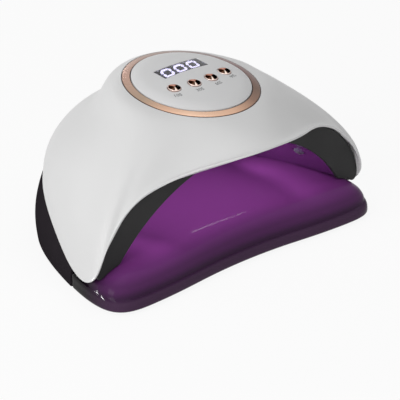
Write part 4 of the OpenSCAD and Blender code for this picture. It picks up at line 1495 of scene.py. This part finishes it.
# Moulded epoxy that passes infrared: it looks black with a wine-red depth.
epoxy = skin(
    "infrared_pass_epoxy", (3, "17090F", "0E080C"), rough=(2, 0.08, 0.16),
    IOR=1.55, Coat_Weight=0.3, Coat_Roughness=0.05)
r = sensor_d / 2
section = [(r * math.sin(a), sensor_low + sensor_rise * (1 - math.cos(a)))
           for a in np.radians((0, 15, 30, 45, 60, 75, 90))]
section += [
    (r, sensor_cap_z), (sensor_cap_r - 0.2, sensor_cap_z), (sensor_cap_r, sensor_cap_z + 0.2),
    (sensor_cap_r, sensor_high - 0.2), (sensor_cap_r - 0.2, sensor_high), (0, sensor_high)]
points, faces = turned(section, 32)
both = [([(x + s * sensor_xy[0], y + sensor_xy[1], z) for x, y, z in points], faces)
        for s in (-1, 1)]
sensors = new_piece("hand_sensors", *joined(*both), epoxy)
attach(sensors, "upper_lamp")
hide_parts("ir_sensors")

# Screws
# Pan-head screws with a cross recess, grown on one point for each: under the tray, through the
# reflector's tabs and through the circuit board.
tray_screw_xy = [(62, -44), (40, 52)]
board_post = [(25.6, 18.8), (25.6, -18), (-25.6, 18.8), (-25.6, -18)]
board_z = -18
frame_z = 25.4
crown_share = 0.84
slot_reach = 1.25
shank_share = 0.495

# Zinc-plated steel, cold-headed: bright, slightly blue, with a dull bloom in places.
zinc = skin(
    "zinc_plated_steel", (2, "B9BEC6", "A9ADB4"), grain=(0.25, 0.002), rough=(1.6, 0.25, 0.42),
    Metallic=1.0)

tree, sizes, output = new_growth(
    "cross_screws", "Head radius", "Head height", "Shank radius", "Shank length", "Slot width",
    "Slot depth")
crown = add(tree, "ShaderNodeMath", {
    0: sizes.outputs["Head radius"], 1: crown_share}, operation="MULTIPLY")
head = add(tree, "GeometryNodeMeshCone", {
    "Vertices": 28, "Radius Top": crown, "Radius Bottom": sizes.outputs["Head radius"],
    "Depth": sizes.outputs["Head height"]})
half_way = add(tree, "ShaderNodeMath", {
    0: sizes.outputs["Shank length"], 1: -shank_share}, operation="MULTIPLY")
shank = add(tree, "GeometryNodeTransform", {
    "Geometry": add(tree, "GeometryNodeMeshCylinder", {
        "Vertices": 16, "Radius": sizes.outputs["Shank radius"],
        "Depth": sizes.outputs["Shank length"]}),
    "Translation": add(tree, "ShaderNodeCombineXYZ", {"Z": half_way})})
whole = add(tree, "GeometryNodeMeshBoolean", {"Mesh 2": head}, operation="UNION", solver="MANIFOLD")
tree.links.new(shank.outputs[0], whole.inputs["Mesh 2"])
reach = add(tree, "ShaderNodeMath", {
    0: sizes.outputs["Head radius"], 1: slot_reach}, operation="MULTIPLY")
deep = add(tree, "ShaderNodeMath", {0: sizes.outputs["Slot depth"], 1: 2.0}, operation="MULTIPLY")
top = add(tree, "ShaderNodeCombineXYZ", {"Z": sizes.outputs["Head height"]})
recess = []
for across, over in (("X", "Y"), ("Y", "X")):
    size = add(tree, "ShaderNodeCombineXYZ", {
        across: reach, over: sizes.outputs["Slot width"], "Z": deep})
    recess.append(add(tree, "GeometryNodeTransform", {
        "Geometry": add(tree, "GeometryNodeMeshCube", {"Size": size}), "Translation": top}))
screw = add(tree, "GeometryNodeMeshBoolean", {"Mesh 1": whole, "Mesh 2": recess[0]},
            operation="DIFFERENCE", solver="MANIFOLD")
tree.links.new(recess[1].outputs[0], screw.inputs["Mesh 2"])
ending(tree, aimed(tree, sizes.outputs["Geometry"], screw), output, zinc)

down = (0, 0, -1)
under_panel = on_panel(0, 0, -1) - on_panel(0, 0, 0)
screw_sets = [
    ("tray_plate_screws", "base", "tray_screws",
     [(s * x, y, 2.3) for s in (-1, 1) for x, y in tray_screw_xy], down,
     {"Head radius": 2.7, "Head height": 1.1, "Shank radius": 1.2, "Shank length": 9,
      "Slot width": 0.8, "Slot depth": 0.6}),
    ("reflector_tab_screws", "upper_lamp", "liner_screws",
     [(s * x, y, frame_z + 1.2) for s in (-1, 1) for x, y, _ in ears], down,
     {"Head radius": 2.25, "Head height": 1.1, "Shank radius": 1.1, "Shank length": 5,
      "Slot width": 0.6, "Slot depth": 0.6}),
    ("circuit_board_screws", "upper_lamp", "board_screws",
     [on_panel(x, y, board_z - 0.1) for x, y in board_post], under_panel,
     {"Head radius": 2.2, "Head height": 1.6, "Shank radius": 1.1, "Shank length": 6.9,
      "Slot width": 0.6, "Slot depth": 0.8})]
for name, body, node, seeds, aim, values in screw_sets:
    screws = grown(name, tree, values, seeds, [aim] * len(seeds))
    screws.data.set_sharp_from_angle(angle=math.radians(28))
    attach(screws, body)
    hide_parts(node)

# Feet
# Four black rubber pads under the tray, rounded where they meet the table.
foot_r = 7
foot_h = 1.5
foot_round = 0.55
foot_xy = [(80, -52), (52, 46)]

# Moulded nitrile rubber: dull black with a fine talc bloom.
rubber = skin(
    "moulded_nitrile_rubber", (3, "1B1B1C", "242425"), grain=(0.3, 0.01), rough=(4, 0.7, 0.85),
    Specular_IOR_Level=0.3)

tree, sizes, output = new_growth("round_feet", "Radius", "Height", "Rounding")
disc = add(tree, "GeometryNodeMeshCylinder", {
    "Vertices": 56, "Side Segments": 14, "Fill Segments": 3, "Radius": sizes.outputs["Radius"],
    "Depth": sizes.outputs["Height"]})
spot = add(tree, "GeometryNodeInputPosition")
axes = add(tree, "ShaderNodeSeparateXYZ", {"Vector": spot})
half_up = add(tree, "ShaderNodeMath", {0: sizes.outputs["Height"], 1: 0.5}, operation="MULTIPLY")
above = add(tree, "ShaderNodeMath", {0: axes.outputs["Z"], 1: half_up}, operation="ADD")
risen = add(tree, "ShaderNodeMath", {
    0: above, 1: sizes.outputs["Rounding"]}, operation="DIVIDE", use_clamp=True)
short_of = add(tree, "ShaderNodeMath", {0: 1.0, 1: risen}, operation="SUBTRACT")
squared = add(tree, "ShaderNodeMath", {0: short_of, 1: 2.0}, operation="POWER")
left = add(tree, "ShaderNodeMath", {0: 1.0, 1: squared}, operation="SUBTRACT")
root = add(tree, "ShaderNodeMath", {0: left}, operation="SQRT")
lost = add(tree, "ShaderNodeMath", {0: 1.0, 1: root}, operation="SUBTRACT")
ratio = add(tree, "ShaderNodeMath", {
    0: sizes.outputs["Rounding"], 1: sizes.outputs["Radius"]}, operation="DIVIDE")
share = add(tree, "ShaderNodeMath", {0: lost, 1: ratio}, operation="MULTIPLY")
kept = add(tree, "ShaderNodeMath", {0: 1.0, 1: share}, operation="SUBTRACT")
scale = add(tree, "ShaderNodeCombineXYZ", {"X": kept, "Y": kept, "Z": 1.0})
placed = add(tree, "ShaderNodeVectorMath", {0: spot, 1: scale}, operation="MULTIPLY")
shaped = add(tree, "GeometryNodeSetPosition", {"Geometry": disc, "Position": placed})
on_points = add(tree, "GeometryNodeInstanceOnPoints", {
    "Points": sizes.outputs["Geometry"], "Instance": shaped})
ending(tree, on_points, output, rubber)
feet = grown("rubber_pads", tree, {"Radius": foot_r, "Height": foot_h, "Rounding": foot_round},
             [(s * x, y, foot_h / 2) for s in (-1, 1) for x, y in foot_xy])
feet.data.set_sharp_from_angle(angle=math.radians(40))
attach(feet, "base")
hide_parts("rubber_feet")

# Hidden parts
# What a lifted or opened lamp shows: the grey frame round the reflector, magnets, lamp strips,
# wires, the circuit board with its parts, and the plate that closes the tray. Their CAD shapes
# stay and only get their finishes.
plug_y = 16
plug_drop = 9.3


def dressed(name, material):
    """Gives a carried-over CAD node its finish."""
    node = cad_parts[name]
    if not node.material_slots:
        node.data.materials.append(material)
    for place in node.material_slots:
        place.material = material


# Matt grey ABS from an etched mould.
dressed("inner_frame", skin(
    "etched_grey_abs", (12, "5F5F63", "646468"), grain=(0.4, 0.01), rough=(15, 0.5, 0.6),
    Specular_IOR_Level=0.3))

# The same ABS in near black for the plate under the tray.
dressed("tray_bottom_plate", skin(
    "etched_black_abs", (12, "2A272C", "302C32"), grain=(0.5, 0.015), rough=(15, 0.5, 0.62),
    Specular_IOR_Level=0.3))

# Nickel-plated magnets, tumbled, with soft small scratches.
nickel = skin(
    "nickel_plated_magnet", (2, "C6C4BE", "B8B7B3"), grain=(0.15, 0.002), rough=(1.5, 0.16, 0.34),
    Metallic=1.0)
for name in ("housing_magnets", "tray_magnets"):
    dressed(name, nickel)


def board_skin(name, rough, mask, track, pitch, **values):
    """Solder mask over copper tracks: thin lines of another tone, about half a pitch apart."""
    material, tree, shader = finish(name, IOR=1.5, **values)
    place = grained(tree, shader, 0.5, 0.004)
    varied(tree, shader, place, "Roughness", 4, *rough)
    cells = add(tree, "ShaderNodeTexBrick", {
        "Vector": place, "Scale": 1000 / pitch, "Mortar Size": 0.06, "Mortar Smooth": 0.3,
        "Brick Width": 1.6, "Row Height": 0.5, "Color1": linear(mask), "Color2": linear(mask),
        "Mortar": linear(track)})
    tree.links.new(cells.outputs["Color"], shader.inputs["Base Color"])
    return material


# Glass-fibre board under green solder mask, with tracks about 2 mm apart.
dressed("main_board", board_skin(
    "green_solder_mask_board", (0.3, 0.42), "1C5E33", "3B8350", 3.6, Coat_Weight=0.3))

# Aluminium strips under white solder mask, with tracks that join the lamps.
dressed("led_strips", board_skin(
    "white_solder_mask_strip", (0.35, 0.45), "D8D6CE", "C2BEB2", 5.0))

# Moulded epoxy of chips, relays and capacitor caps.
component = skin(
    "moulded_epoxy_component", (9, "26262A", "33343C"), grain=(0.2, 0.006), rough=(3, 0.42, 0.6),
    Specular_IOR_Level=0.4)
for name in ("board_components", "tact_switches", "display_module"):
    dressed(name, component)

# Extruded PVC sleeves, red on one wire and black on the other, and an ivory plug at the board.
pvc, tree, shader = finish("extruded_pvc_sleeve", Specular_IOR_Level=0.45)
place = grained(tree, shader, 0.3, 0.004)
varied(tree, shader, place, "Roughness", 5, 0.3, 0.42)
axes = add(tree, "ShaderNodeSeparateXYZ", {"Vector": place})
right_wire = add(tree, "ShaderNodeMath", {0: axes.outputs["X"], 1: 0.0}, operation="GREATER_THAN")
pair = add(tree, "ShaderNodeMix", {
    "Factor": right_wire, 6: linear("1E1D1F"), 7: linear("A3211F")}, data_type="RGBA")
plug_z = on_panel(0, plug_y, board_z - plug_drop)[2] * 0.001
high = add(tree, "ShaderNodeMath", {0: axes.outputs["Z"], 1: plug_z}, operation="GREATER_THAN")
tone = add(tree, "ShaderNodeMix", {
    "Factor": high, 6: pair.outputs[2], 7: linear("E6E0CC")}, data_type="RGBA")
tree.links.new(tone.outputs[2], shader.inputs["Base Color"])
dressed("wire_harness", pvc)
